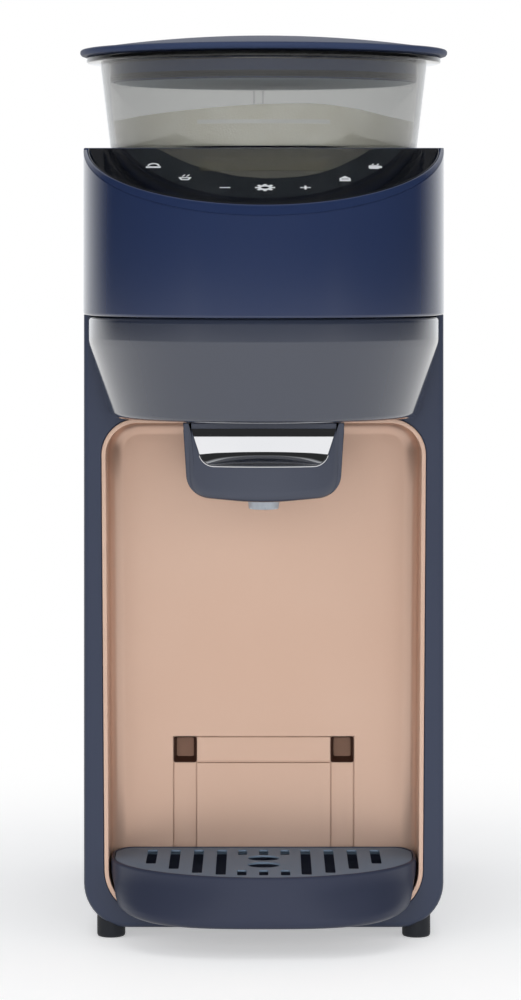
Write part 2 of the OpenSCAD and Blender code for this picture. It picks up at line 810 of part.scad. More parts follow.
// Spur gear outline. Each flank is an involute with four points over its base circle.
module gear_outline(teeth) {
    rp = gear_m * teeth / 2;
    rb = rp * cos(pressure_angle);
    ra = rp + gear_m * 0.92;
    rf = rp - gear_m * 1.25;
    half = 90 / teeth - backlash / rp * 90 / PI + involute_turn(rb, rp);
    r0 = max(rb, rf + 0.01);
    flank = [for (i = [0:4]) r0 + (ra - r0) * i / 4];
    points = [for (t = [0:teeth - 1]) let (c = 360 * t / teeth) each concat(
        [[rf * cos(c - half - 0.2), rf * sin(c - half - 0.2)]],
        [for (r = flank) let (a = c - half + involute_turn(rb, r)) [r * cos(a), r * sin(a)]],
        [for (i = [4:-1:0]) let (r = flank[i], a = c + half - involute_turn(rb, r))
            [r * cos(a), r * sin(a)]],
        [[rf * cos(c + half + 0.2), rf * sin(c + half + 0.2)]])];
    polygon(points);
}

module drive_bracket() {
    post = 8;
    plate_w = 2 * motor_r + 18;
    x0 = -gear_r - 12;
    x1 = centre_d + motor_r + 9;
    color("#3a3d44") translate([0, container_y, 0]) difference() {
        union() {
            translate([x0, -plate_w / 2, plate_z]) cube([x1 - x0, plate_w, 3]);
            for (x = [x0, x1 - post], y = [-plate_w / 2, plate_w / 2 - post])
                translate([x, y, plate_z]) cube([post, post, deck_under - plate_z]);
        }
        translate([0, 0, plate_z - eps]) cylinder(r = spindle_r + running, h = 4);
        translate([centre_d, 0, plate_z - eps]) cylinder(r = 5, h = 4);
    }
}

module drive_motor() {
    color("#8b8f96") translate([centre_d, container_y, plate_z]) {
        translate([0, 0, -motor_l]) cylinder(r = motor_r, h = motor_l);
        translate([0, 0, -eps]) cylinder(r = 4.8, h = 2);
    }
}

module motor_pinion() {
    color("#e6e2d6") translate([centre_d, container_y, gear_z]) {
        rotate([0, 0, 180 + 180 / pinion_teeth]) linear_extrude(gear_w) gear_outline(pinion_teeth);
        translate([0, 0, plate_z + 2 + contact - gear_z]) cylinder(r = 2.5, h = gear_z - plate_z - 2);
    }
}

module drive_gear() {
    color("#e6e2d6") translate([0, container_y, gear_z]) difference() {
        union() {
            linear_extrude(gear_w) gear_outline(gear_teeth);
            cylinder(r = spindle_r + 4, h = gear_w + 1.6);
        }
        translate([0, 0, -eps]) cylinder(r = spindle_r, h = gear_w + 2);
        for (a = [0:60:300]) rotate([0, 0, a]) translate([gear_r * 0.6, 0, -eps])
            cylinder(r = gear_r * 0.17, h = gear_w + 2 * eps);
    }
}

module drive_spindle() {
    collar_z = deck_under - deck_hole_h + 0.1;
    dog_z = deck_z + container_floor - 0.4;
    color("#c9ccd1") translate([0, container_y, 0]) {
        translate([0, 0, plate_z - 2]) cylinder(r = spindle_r, h = deck_z - plate_z + 2);
        translate([0, 0, collar_z]) cylinder(r = dog_r + 1, h = dog_z - collar_z);
        translate([0, 0, dog_z - eps]) cylinder(r = dog_r, h = dog_h, $fn = 6);
    }
}

// Powder container, wheel and lid ------------------------------------------------

// Inner radius of the container at height z over its foot
function container_bore(z) = container_foot_r - container_wall
    + (container_top_r - container_foot_r) * (z - container_floor) / (container_h - container_floor);

powder_gap = 1.8; // room for powder round the wheel
wheel_z = deck_z + container_floor + contact;
wheel_r = container_foot_r - container_wall - powder_gap;
outlet_angle = 270;

module powder_container() {
    h = container_h;
    w = container_wall;
    color(smoke) translate([0, container_y, deck_z]) difference() {
        rotate_extrude() polygon([
            [0, 0], [container_foot_r - 0.8, 0], [container_foot_r, 0.8],
            [container_top_r, h - flange_t], [flange_r, h - flange_t], [flange_r, h],
            [container_top_r - w, h], [container_foot_r - w, container_floor], [0, container_floor]]);
        translate([0, 0, -eps]) cylinder(r = dog_r + 2, h = container_floor + 2 * eps);
        translate([0, -pocket_circle_r, -eps]) cylinder(r = outlet_r, h = container_floor + 2 * eps);
    }
}

module dosing_wheel() {
    color("#e9e9e6") translate([0, container_y, wheel_z]) difference() {
        union() {
            cylinder(r = wheel_r, h = wheel_t);
            cylinder(r = hub_r, h = wheel_t + hub_h);
        }
        for (i = [0:pockets - 1]) rotate([0, 0, outlet_angle + 360 * i / pockets])
            translate([pocket_circle_r, 0, -eps]) cylinder(r = pocket_r, h = wheel_t + 2 * eps);
        translate([0, 0, -eps]) cylinder(r = dog_r + contact, h = dog_h + contact, $fn = 6);
        translate([0, 0, wheel_t - 2]) difference() {
            cylinder(r = pocket_circle_r - pocket_r - 4, h = 2 + eps);
            translate([0, 0, -eps]) cylinder(r = hub_r + 3, h = 2 + 3 * eps);
        }
    }
}

// A fixed guard wipes the pockets level over the outlet and clips under the container's wall.
module outlet_scraper() {
    t = 1.8;
    z = wheel_z + wheel_t + contact - deck_z;
    r = container_bore(z) - 0.02;
    color("#e9e9e6") translate([0, container_y, deck_z + z]) intersection() {
        difference() {
            cylinder(r = r, h = t);
            translate([0, 0, -eps]) cylinder(r = pocket_circle_r - pocket_r - 5, h = t + 2 * eps);
        }
        rotate([0, 0, outlet_angle]) linear_extrude(t) polygon([[0, 0], [90, -42], [90, 42]]);
    }
}

module agitator() {
    z = wheel_z + wheel_t + hub_h;
    arm_t = 2.4;
    reach = wheel_r - hub_r;
    color("#e9e9e6") translate([0, container_y, z]) {
        cylinder(r = hub_r, h = arm_t);
        cylinder(r1 = hub_r - 2, r2 = 4, h = 2 * arm_t);
        for (i = [0:agitator_arms - 1]) rotate([0, 0, 45 + 360 * i / agitator_arms]) {
            translate([0, -arm_t / 2, 0]) cube([reach, arm_t, arm_t]);
            translate([reach * 0.76, 0, -1.6]) cylinder(r = 1.6, h = 1.6 + arm_t);
            translate([reach * 0.45, 0, 0]) cylinder(r = 1.6, h = 2 * arm_t);
        }
    }
}

lid_z = deck_z + container_h + contact;
plug_r = container_bore(container_h + contact - plug_d) - 0.6;
lid_dish = 1.2; // a shallow ring between the rim and the dome
dome_r = lid_r - 27;
gasket_low = 4;
gasket_t = 1.2;

// Height over the lid's foot of its round middle, at a share of its radius
function dome_top(share) = lid_rim_h - lid_dish + (lid_dome_h + lid_dish) * (1 - share * share);

module powder_lid() {
    w = lid_wall;
    color("#454f60") translate([0, container_y, lid_z]) rotate_extrude() polygon(concat(
        [[0, -plug_d + w], [0, -plug_d], [plug_r - 1, -plug_d], [plug_r, -plug_d + 1]],
        [[plug_r, -plug_d + gasket_low], [plug_r - gasket_t, -plug_d + gasket_low]],
        [[plug_r - gasket_t, -plug_d + gasket_low + gasket_h], [plug_r, -plug_d + gasket_low + gasket_h]],
        [[plug_r, 0], [lid_r - 1.6, 0], [lid_r - 0.5, 0.7], [lid_r, 1.8], [lid_r - 0.4, lid_rim_h - 0.8]],
        [[lid_r - 1.4, lid_rim_h], [lid_r - 4, lid_rim_h], [lid_r - 6, lid_rim_h - lid_dish]],
        [for (i = [10:-1:0]) [dome_r * i / 10, dome_top(i / 10)]],
        [for (i = [0:10]) [dome_r * i / 10, dome_top(i / 10) - w]],
        [[plug_r - w - gasket_t, lid_rim_h - lid_dish - w], [plug_r - w - gasket_t, -plug_d + w]]));
}

module lid_gasket() {
    lip_r = plug_r + 0.25;
    in_r = plug_r - gasket_t;
    color("#2a2e33") translate([0, container_y, lid_z - plug_d + gasket_low]) rotate_extrude() polygon([
        [in_r, 0], [plug_r, 0], [lip_r, 0.5], [plug_r, 1], [lip_r, 1.5], [plug_r, 2],
        [plug_r, gasket_h], [in_r, gasket_h]]);
}

// Water tank and dock --------------------------------------------------------------

tank_z = dock_top_z - tank_seat;
tank_w = body_w - 2 * dock_rim - 2 * contact;
tank_lid_z = deck_z - tank_lid_h - 1;
hinge_y = tank_back - 4.5;
hinge_z = tank_lid_z + tank_lid_h / 2;
hinge_x = 30;
lug_w = 8;
dock_floor_w = body_w - 2 * base_corner_r + 2 * wall;

module dock_block(g, z0, z1) {
    intersection() {
        translate([0, 0, z0]) linear_extrude(z1 - z0) tank_plan(back_y, dock_back, g);
        along_y(back_y - 1, dock_back + 1) column_outline(g);
    }
}

module tank_dock() {
    color(navy) difference() {
        dock_block(0, foot_h, dock_top_z);
        dock_block(wall, foot_h - 1, dock_top_z - tank_seat - wall);
        translate([0, 0, foot_h - 1]) linear_extrude(wall + 1)
            tank_plan(back_y, dock_back, wall, dock_floor_w);
        translate([0, 0, dock_top_z - tank_seat]) linear_extrude(tank_seat + 1)
            tank_plan(tank_y - contact, tank_back + contact, 0, tank_w + 2 * contact);
        translate([0, valve_y, tank_z - wall - eps]) cylinder(r = valve_r + 3, h = wall + 2 * eps);
        along_y(back_y - 1, back_y + wall + 1) translate([pump_x, pump_z]) circle(hose_r + 2);
        along_y(dock_back - wall - 1, dock_back + 1) translate([gland_x, gland_z]) circle(gland_r);
        along_y(dock_back - gland_flange_t, dock_back + 1) translate([gland_x, gland_z])
            circle(gland_r + gland_lip + 0.1);
    }
}

gland_x = 34;
gland_z = 24;
gland_r = 6;
gland_bore_r = 3.4;
gland_flange_t = 1.6;
gland_lip = 2;

module dock_floor() {
    z0 = foot_h;
    color("#2a3040") difference() {
        translate([0, 0, z0]) linear_extrude(wall)
            tank_plan(back_y, dock_back, wall + 0.1, dock_floor_w);
        for (i = [-2:2]) translate([i * 12 - 2, valve_y - 14, z0 - eps]) cube([4, 22, wall + 2 * eps]);
    }
}

// Round socket that takes the tank's valve. Its pin lifts the plunger.
module dock_seal() {
    top = dock_top_z - tank_seat;
    low = top - 16;
    r = valve_r + 3;
    color("#9aa0a8") translate([0, valve_y, 0]) difference() {
        union() {
            translate([0, 0, low]) cylinder(r = r, h = top - low);
            translate([0, 0, top - wall - 2]) cylinder(r = r + 3, h = 2);
        }
        translate([0, 0, low - eps]) cylinder(r = hose_r - 0.6, h = 17);
        translate([0, 0, low + 4]) difference() {
            cylinder(r = valve_r + 1, h = 20);
            translate([0, 0, -eps]) cylinder(r = 3.4, h = valve_pin_h);
        }
    }
}

valve_pin_h = 9;

module water_tank() {
    rim_z = tank_lid_z - contact;
    color("#b9bcc0") difference() {
        union() {
            translate([0, 0, tank_z]) linear_extrude(rim_z - tank_z) tank_plan(tank_y, tank_back, 0, tank_w);
            for (s = [-1, 1]) translate([s * hinge_x - lug_w / 2, hinge_y - 3, rim_z - 6])
                cube([lug_w, 6, hinge_z - rim_z + 6]);
            for (s = [-1, 1]) translate([s * hinge_x - lug_w / 2, hinge_y, hinge_z]) rotate([0, 90, 0])
                cylinder(r = 3, h = lug_w);
        }
        difference() {
            translate([0, 0, tank_z + 3]) linear_extrude(big) tank_plan(tank_y, tank_back, tank_wall, tank_w);
            for (s = [-1, 1]) translate([s * hinge_x - lug_w / 2 - eps, hinge_y - 3 - eps, rim_z - 6])
                cube([lug_w + 2 * eps, 20, 40]);
        }
        translate([0, valve_y, tank_z - eps]) cylinder(r = valve_r - 2, h = 4);
        for (s = [-1, 1]) translate([s * hinge_x - lug_w / 2 - 1, hinge_y, hinge_z]) rotate([0, 90, 0])
            cylinder(r = hinge_r, h = lug_w + 2);
    }
}

module tank_lid() {
    rim_z = tank_lid_z;
    back = tank_back - 10;
    color("#454f60") difference() {
        union() {
            translate([0, 0, rim_z]) linear_extrude(tank_lid_h)
                tank_plan(tank_y, tank_back - 0.6, 0.6, tank_w);
            translate([0, 0, rim_z - 4]) linear_extrude(4 + eps) difference() {
                tank_plan(tank_y, back, tank_wall + 0.8, tank_w - 2 * tank_corner_r);
                tank_plan(tank_y, back, tank_wall + 2.8, tank_w - 2 * tank_corner_r);
            }
        }
        translate([0, 0, rim_z - eps]) linear_extrude(tank_lid_h - 2.4) difference() {
            tank_plan(tank_y, tank_back - 11, 3, tank_w);
            tank_plan(tank_y, back, tank_wall + 0.8, tank_w - 2 * tank_corner_r);
        }
        for (s = [-1, 1]) translate([s * hinge_x - lug_w / 2 - contact, hinge_y - 5, rim_z - 1])
            cube([lug_w + 2 * contact, 20, tank_lid_h + 2]);
        translate([-hinge_x - lug_w, hinge_y, hinge_z]) rotate([0, 90, 0])
            cylinder(r = hinge_r + running, h = 2 * (hinge_x + lug_w));
        difference() {
            translate([-big / 2, hinge_y, rim_z - 5]) cube([big, 20, tank_lid_h + 6]);
            translate([-big / 2, hinge_y, hinge_z]) rotate([0, 90, 0]) cylinder(r = tank_lid_h / 2, h = big);
        }
        translate([-12, tank_y - 1, rim_z + tank_lid_h - 3]) cube([24, 9, 4]);
    }
}

module lid_hinge_pin() {
    color("#c9ccd1") translate([-hinge_x - lug_w + 0.5, hinge_y, hinge_z]) rotate([0, 90, 0])
        cylinder(r = hinge_r, h = 2 * (hinge_x + lug_w) - 1);
}

valve_travel = 4;

module tank_valve() {
    pin_top = dock_top_z - tank_seat - 12 + valve_pin_h;
    color("#9aa0a8") translate([0, valve_y, 0]) {
        translate([0, 0, pin_top + 0.05])
            cylinder(r = valve_r - 2 - 0.2, h = tank_z + 3 + valve_travel - pin_top);
        translate([0, 0, tank_z + 3 + valve_travel]) cylinder(r = valve_r + 1, h = 2.5);
    }
}

module cable_gland() {
    color("#1c1d20") difference() {
        union() {
            along_y(dock_back - 9, dock_back - 0.4) translate([gland_x, gland_z]) circle(gland_r - 0.05);
            along_y(dock_back - gland_flange_t, dock_back - 0.4) translate([gland_x, gland_z])
                circle(gland_r + gland_lip);
        }
        along_y(dock_back - 10, dock_back) translate([gland_x, gland_z]) circle(gland_bore_r);
    }
}

module case_screws() {
    color("#6c7076") for (s = [-1, 1], z = screw_z) {
        along_y(cavity_back - screw_l + 0.5, back_y - screw_head_h + eps) translate([s * screw_x, z])
            circle(screw_r);
        along_y(back_y - screw_head_h, back_y - 0.3) translate([s * screw_x, z]) circle(screw_head_r);
    }
}

module feet() {
    color("#232733") {
        for (s = [-1, 1]) translate([s * foot_place, face_y + foot_front, 0])
            cylinder(r = foot_r, h = foot_h + foot_socket_h);
        for (s = [-1, 1]) translate([s * (body_w / 2 - base_corner_r - foot_r - 4), dock_back - 22, 0])
            cylinder(r = foot_r, h = foot_h);
    }
}

// Drip tray ---------------------------------------------------------------------------

tray_base_z = bay_z + contact;
tray_top_z = tray_base_z + tray_h;
tray_back = bay_back_y - contact;
tray_w = bay_bottom_w - 2 * tray_side_gap;
tray_front_r = (pow(tray_w / 2, 2) + pow(tray_reach, 2)) / (2 * tray_reach);
tray_rear_w = tray_w - 2 * bay_cove_r - 5;

// Plan of the tray: a round front and a narrower rounded back, drawn in by g
module tray_plan(g = 0) {
    intersection() {
        translate([0, face_y - tray_reach + tray_front_r]) circle(tray_front_r - g);
        polygon(rounded([
            [-tray_w / 2 + g, face_y - tray_reach - 5, 0],
            [tray_w / 2 - g, face_y - tray_reach - 5, 0],
            [tray_w / 2 - g, face_y + 6, 8],
            [tray_rear_w / 2 - g, tray_back - g, 9],
            [-tray_rear_w / 2 + g, tray_back - g, 9],
            [-tray_w / 2 + g, face_y + 6, 8]], 6));
    }
}

// Side outline of the tray in Y and Z. Its rear foot clears the hollow of the bay.
module tray_side() {
    rotate([90, 0, 90]) translate([0, 0, -body_w / 2]) linear_extrude(body_w) polygon(rounded([
        [face_y - tray_reach - 5, tray_base_z - 1, 0],
        [tray_back - bay_cove_r - 4, tray_base_z - 1, 0],
        [tray_back, tray_base_z + bay_cove_r + 0.5, 4],
        [tray_back, tray_top_z + 5, 0],
        [face_y - tray_reach - 5, tray_top_z + 5, 0]], 5));
}

// Front outline of the tray in X and Z
module tray_front(g = 0) {
    w = tray_w / 2 + 0.6 - g;
    r = tray_side_r - g;
    polygon(rounded([
        [-w, tray_top_z + 20, 0],
        [-w + 1.2, tray_base_z + g, r],
        [w - 1.2, tray_base_z + g, r],
        [w, tray_top_z + 20, 0]], 8));
}

module drip_tray() {
    hook_h = 9;
    color(charcoal) difference() {
        union() {
            intersection() {
                translate([0, 0, tray_base_z]) linear_extrude(tray_h) tray_plan();
                along_y(face_y - tray_reach - 1, tray_back) tray_front();
                tray_side();
            }
            for (s = [-1, 1])
                translate([s * slot_x - slot_w / 2 + 0.4, tray_back - eps, tray_top_z - hook_h - 2])
                    cube([slot_w - 0.8, contact + slot_d - 0.4, hook_h]);
        }
        intersection() {
            translate([0, 0, tray_base_z]) linear_extrude(tray_h + 1) tray_plan(tray_wall + 1.4);
            along_y(face_y - tray_reach - 1, tray_back) tray_front(tray_wall);
            translate([0, -tray_wall, tray_wall]) tray_side();
        }
        translate([0, 0, tray_top_z - grate_t - contact]) linear_extrude(grate_t + 1)
            tray_plan(tray_wall - 0.4);
    }
}

slot_back = tray_back - 8.6;
slot_lengths = [67.5, 62.7, 52, 37.8];

module drip_grate() {
    row_l = 13.5;
    color(slate) difference() {
        translate([0, 0, tray_top_z - grate_t]) linear_extrude(grate_t) tray_plan(tray_wall);
        translate([0, 0, tray_top_z - grate_t - eps]) linear_extrude(grate_t + 2 * eps) {
            for (s = [-1, 1], i = [0:3])
                translate([s * (1.8 + i) * grate_pitch - grate_slot_w / 2, slot_back - slot_lengths[i]])
                    square([grate_slot_w, slot_lengths[i]]);
            for (i = [-1:1], y = [slot_back - row_l, slot_back - slot_lengths[0] - 1.8])
                translate([i * 9.5 - 2, y]) square([4, row_l]);
            for (y = [22.6, 41.6]) translate([0, slot_back - y]) circle(grate_hole_r);
        }
    }
}

body_shell();
bay_liner();
rear_cover();
head_shell();
top_deck();
panel_glass();
display_module();
control_board();
chin_cover();
drawer_rails();
powder_chute();
water_spout();
drive_bracket();
drive_motor();
tank_dock();
dock_floor();
dock_seal();
water_pump();
flow_heater();
pump_hose();
heater_hose();
spout_hose();
power_board();
cable_gland();
case_screws();
feet();
drive_spindle();
drive_gear();
motor_pinion();
powder_container();
outlet_scraper();
dosing_wheel();
agitator();
powder_lid();
lid_gasket();
water_tank();
tank_lid();
lid_hinge_pin();
tank_valve();
funnel_drawer();
pull_plate();
mixing_funnel();
drip_tray();
drip_grate();
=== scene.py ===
import math
import bpy
import bmesh
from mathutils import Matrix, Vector, noise


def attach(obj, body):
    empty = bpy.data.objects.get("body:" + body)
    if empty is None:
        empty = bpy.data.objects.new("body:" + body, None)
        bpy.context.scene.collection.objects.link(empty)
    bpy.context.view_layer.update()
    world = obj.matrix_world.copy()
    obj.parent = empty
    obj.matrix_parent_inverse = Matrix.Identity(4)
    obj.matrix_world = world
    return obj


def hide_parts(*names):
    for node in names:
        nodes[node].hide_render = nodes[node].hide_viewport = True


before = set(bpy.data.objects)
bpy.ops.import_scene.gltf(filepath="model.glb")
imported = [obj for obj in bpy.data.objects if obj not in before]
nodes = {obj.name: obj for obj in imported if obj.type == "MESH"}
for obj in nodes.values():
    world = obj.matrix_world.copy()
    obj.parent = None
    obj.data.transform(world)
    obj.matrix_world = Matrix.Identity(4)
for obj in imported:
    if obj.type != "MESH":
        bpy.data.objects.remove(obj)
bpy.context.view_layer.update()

mm = 0.001                                       # everything below is drawn in millimetres
faceY, coverY, backY = -75, 82.4, 85             # column's front, back edge of its shell, back of its cover
seamZ, deckUnder, deckZ = 277.2, 348.7, 351.3    # seam under the head, underside and top of the deck
nozzleY, outletY = -88, -58                      # axes of the mixing funnel and of the powder outlet
print("frame loaded:", len(nodes), "nodes")


def paint(code, alpha=1.0):
    # sRGB hex to the linear values that shader sockets take
    parts = [int(code[i:i + 2], 16) / 255 for i in (0, 2, 4)]
    return tuple(c / 12.92 if c <= 0.04045 else ((c + 0.055) / 1.055) ** 2.4 for c in parts) + (alpha,)


def addNode(tree, kind, settings=None, values=None, links=None):
    node = tree.nodes.new(kind)
    for key, value in (settings or {}).items():
        setattr(node, key, value)
    for key, value in (values or {}).items():
        node.inputs[key].default_value = value
    for key, (source, socket) in (links or {}).items():
        tree.links.new(source.outputs[socket], node.inputs[key])
    return node


def rounded(corners, steps=10):
    # closed outline; each corner is (x, y, radius)
    points = []
    for i, (bx, by, r) in enumerate(corners):
        b = Vector((bx, by))
        if r <= 0:
            points.append((bx, by))
            continue
        a, c = Vector(corners[i - 1][:2]), Vector(corners[(i + 1) % len(corners)][:2])
        u, v = (a - b).normalized(), (c - b).normalized()
        half = u.angle(v) / 2
        mid = b + (u + v).normalized() * r / math.sin(half)
        s, e = b + u * r / math.tan(half) - mid, b + v * r / math.tan(half) - mid
        turn = math.atan2(s.x * e.y - s.y * e.x, s.dot(e))
        start = math.atan2(s.y, s.x)
        for k in range(steps + 1):
            t = start + turn * k / steps
            points.append((mid.x + r * math.cos(t), mid.y + r * math.sin(t)))
    return points


def circle(x, y, r, steps=48):
    turns = [2 * math.pi * k / steps for k in range(steps)]
    return [(x + r * math.cos(a), y + r * math.sin(a)) for a in turns]


def rect(x0, y0, x1, y1, r=0.6, steps=4):
    return rounded([(x0, y0, r), (x1, y0, r), (x1, y1, r), (x0, y1, r)], steps)


def atX(outline, x):
    return [(x, y, z) for y, z in outline]


def atY(outline, y):
    return [(x, y, z) for x, z in outline]


def atZ(outline, z):
    return [(x, y, z) for x, y in outline]


def upright(p):
    # a plate drawn flat and stood up, so that its top faces the front
    return (p[0], -p[2], p[1])


def drawIn(loop, g):
    # the same closed loop, smaller by g all round
    n, area = len(loop), 0
    for i in range(n):
        area += loop[i - 1][0] * loop[i][1] - loop[i][0] * loop[i - 1][1]
    side = 1 if area > 0 else -1
    out = []
    for i in range(n):
        p, q, r = Vector(loop[i - 1]), Vector(loop[i]), Vector(loop[(i + 1) % n])
        d0, d1 = (q - p).normalized(), (r - q).normalized()
        normal = Vector((-(d0.y + d1.y), d0.x + d1.x)) * side
        if normal.length < 1e-6:
            normal = Vector((-d0.y, d0.x)) * side
        normal.normalize()
        cosine = max(0.35, normal.dot(Vector((-d0.y, d0.x)) * side))
        out.append(tuple(q + normal * g / cosine))
    return out


class Shape:
    # gathers points and faces of one piece
    def __init__(self):
        self.verts, self.faces = [], []

    def add(self, verts, faces):
        base = len(self.verts)
        self.verts += [tuple(v) for v in verts]
        self.faces += [[base + i for i in f] for f in faces]
        return self

    def loft(self, rings, wrap=True, loop=False, capStart=False, capEnd=False):
        n, m = len(rings[0]), len(rings)
        faces = []
        for k in range(m if loop else m - 1):
            a, b = k * n, ((k + 1) % m) * n
            for i in range(n if wrap else n - 1):
                j = (i + 1) % n
                faces.append([a + i, a + j, b + j, b + i])
        first, last = list(range(n))[::-1], [(m - 1) * n + i for i in range(n)]
        if not wrap:                             # open rings: caps close the two sides where their ends lie
            first, last = [k * n for k in range(m)], [k * n + n - 1 for k in range(m)][::-1]
        faces += ([first] if capStart else []) + ([last] if capEnd else [])
        return self.add([p for ring in rings for p in ring], faces)

    def sheet(self, rows, t):
        # closed thin sheet: a grid of points and the same grid moved back
        rings = [row + [(x, y + t, z) for x, y, z in row[::-1]] for row in rows]
        return self.loft(rings, capStart=True, capEnd=True)

    def tube(self, path, across, r, sides=10):
        # round bar along a path; across is a direction that the path never takes
        rings = []
        for i, point in enumerate(path):
            ahead = (Vector(path[min(i + 1, len(path) - 1)]) - Vector(path[max(i - 1, 0)])).normalized()
            u = Vector(across).cross(ahead).normalized()
            v = ahead.cross(u)
            turns = [2 * math.pi * k / sides for k in range(sides)]
            rings.append([tuple(Vector(point) + (u * math.cos(a) + v * math.sin(a)) * r) for a in turns])
        return self.loft(rings, capStart=True, capEnd=True)

    def revolve(self, profile, centre=(0, 0), steps=144, start=0, sweep=360):
        # turns a closed profile of (radius, z) round an upright axis
        whole = sweep >= 360
        count = steps if whole else steps + 1
        cx, cy = centre
        rings = []
        for k in range(count):
            a = math.radians(start + sweep * k / steps)
            rings.append([(cx + r * math.cos(a), cy + r * math.sin(a), z) for r, z in profile])
        n, faces = len(profile), []
        for k in range(count if whole else count - 1):
            a, b = k * n, ((k + 1) % count) * n
            for i in range(n):
                j = (i + 1) % n
                faces.append([a + i, b + i, b + j, a + j])
        if not whole:
            faces += [list(range(n)), [(count - 1) * n + i for i in range(n)][::-1]]
        return self.add([p for ring in rings for p in ring], faces)

    def plate(self, loops, low, high, bevel=0.4, lay=None, steps=3):
        # flat plate with round edges: loops[0] is its outline, the others are holes; lay puts it in place
        lay = lay or (lambda p: p)
        rims = []
        for k, loop in enumerate(loops):
            sign = 1 if k == 0 else -1
            rings = []
            for s in range(steps + 1):
                a = math.pi / 2 * s / steps
                ring = drawIn(loop, sign * bevel * (1 - math.sin(a)))
                rings.append([(x, y, low + bevel * (1 - math.cos(a))) for x, y in ring])
            for s in range(steps, -1, -1):
                a = math.pi / 2 * s / steps
                ring = drawIn(loop, sign * bevel * (1 - math.sin(a)))
                rings.append([(x, y, high - bevel * (1 - math.cos(a))) for x, y in ring])
            self.loft([[lay(p) for p in ring] for ring in rings])
            rims.append((rings[0], rings[-1]))
        for end in (0, 1):
            bm = bmesh.new()
            edges = []
            for rim in rims:
                made = [bm.verts.new(p) for p in rim[end]]
                edges += [bm.edges.new((made[i - 1], made[i])) for i in range(len(made))]
            bmesh.ops.triangle_fill(bm, edges=edges, use_beauty=True, normal=(0, 0, 1 if end else -1))
            bm.verts.index_update()
            self.add([lay(tuple(v.co)) for v in bm.verts], [[v.index for v in f.verts] for f in bm.faces])
            bm.free()
        return self


def makeObject(name, shape):
    mesh = bpy.data.meshes.new(name)
    mesh.from_pydata([(x * mm, y * mm, z * mm) for x, y, z in shape.verts], [], shape.faces)
    bm = bmesh.new()
    bm.from_mesh(mesh)
    bmesh.ops.remove_doubles(bm, verts=bm.verts, dist=2e-6)
    bmesh.ops.dissolve_degenerate(bm, edges=bm.edges, dist=1e-6)
    bmesh.ops.recalc_face_normals(bm, faces=bm.faces)
    bm.to_mesh(mesh)
    bm.free()
    obj = bpy.data.objects.new(name, mesh)
    bpy.context.scene.collection.objects.link(obj)
    return obj


def carve(obj, cutters):
    # cuts shapes out of a piece for good and removes them
    for cutter in cutters:
        tool = makeObject("cutter", cutter)
        change = obj.modifiers.new("Cut", "BOOLEAN")
        change.operation, change.solver, change.object = "DIFFERENCE", "EXACT", tool
        bpy.context.view_layer.update()
        cut = bpy.data.meshes.new_from_object(obj.evaluated_get(bpy.context.evaluated_depsgraph_get()))
        obj.modifiers.remove(change)
        old, obj.data = obj.data, cut
        cut.name = old.name
        bpy.data.meshes.remove(old)
        bpy.data.objects.remove(tool)
    return obj


def block(x0, y0, z0, x1, y1, z1):
    corners = [(x0, y0), (x1, y0), (x1, y1), (x0, y1)]
    return Shape().loft([atZ(corners, z) for z in (z0, z1)], capStart=True, capEnd=True)


def rod(x, y, r, z0, z1, steps=40):
    return Shape().revolve([(0.01, z0), (r, z0), (r, z1), (0.01, z1)], centre=(x, y), steps=steps)


def finishPiece(obj, body, material, stands=(), bevel=0, segments=3, bevelAngle=50,
        sharp=42):
    # smooth shading, rounded edges, material, and the body that it moves with
    obj.data.materials.clear()
    obj.data.materials.append(material)
    obj.data.polygons.foreach_set("use_smooth", [True] * len(obj.data.polygons))
    if bevel:
        edge = obj.modifiers.new("Edges", "BEVEL")
        edge.width, edge.segments, edge.limit_method = bevel * mm, segments, "ANGLE"
        edge.angle_limit, edge.harden_normals = math.radians(bevelAngle), False
        edge.use_clamp_overlap = True
    else:
        obj.data.set_sharp_from_angle(angle=math.radians(sharp))
    weigh = obj.modifiers.new("Normals", "WEIGHTED_NORMAL")
    weigh.keep_sharp, weigh.weight = True, 60
    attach(obj, body)
    if stands:
        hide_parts(*stands)
    return obj


def surface(name, light, dark, roughness, patchMm=70, grainMm=0.8, grainDepthMm=0.004, roughSpread=0.02,
        **sockets):
    # two near tones in soft patches, uneven gloss, and a fine moulded grain
    # the grain of a real moulding is about 0.1 mm; it is drawn coarser so that it shows
    material = bpy.data.materials.new(name)
    material.use_nodes = True
    tree = material.node_tree
    tree.nodes.clear()
    place = addNode(tree, "ShaderNodeTexCoord")
    patches = addNode(tree, "ShaderNodeTexNoise", None,
        {"Scale": 1000 / patchMm, "Detail": 2, "Roughness": 0.4}, {"Vector": (place, "Object")})
    tones = addNode(tree, "ShaderNodeValToRGB", None, None, {"Fac": (patches, "Fac")})
    tones.color_ramp.interpolation = "EASE"
    tones.color_ramp.elements[0].position, tones.color_ramp.elements[0].color = 0.2, paint(dark)
    tones.color_ramp.elements[1].position, tones.color_ramp.elements[1].color = 0.8, paint(light)
    grain = addNode(tree, "ShaderNodeTexNoise", None,
        {"Scale": 1000 / grainMm, "Detail": 2, "Roughness": 0.6}, {"Vector": (place, "Object")})
    bump = addNode(tree, "ShaderNodeBump", None, {"Strength": 0.6, "Distance": grainDepthMm * mm},
        {"Height": (grain, "Fac")})
    gloss = addNode(tree, "ShaderNodeMapRange", {"interpolation_type": "SMOOTHSTEP"},
        {"From Min": 0.2, "From Max": 0.8, "To Min": max(0.01, roughness - roughSpread),
        "To Max": roughness + roughSpread}, {"Value": (patches, "Fac")})
    shader = addNode(tree, "ShaderNodeBsdfPrincipled", None, sockets,
        {"Base Color": (tones, "Color"), "Roughness": (gloss, "Result"), "Normal": (bump, "Normal")})
    addNode(tree, "ShaderNodeOutputMaterial", None, None, {"Surface": (shader, "BSDF")})
    return material


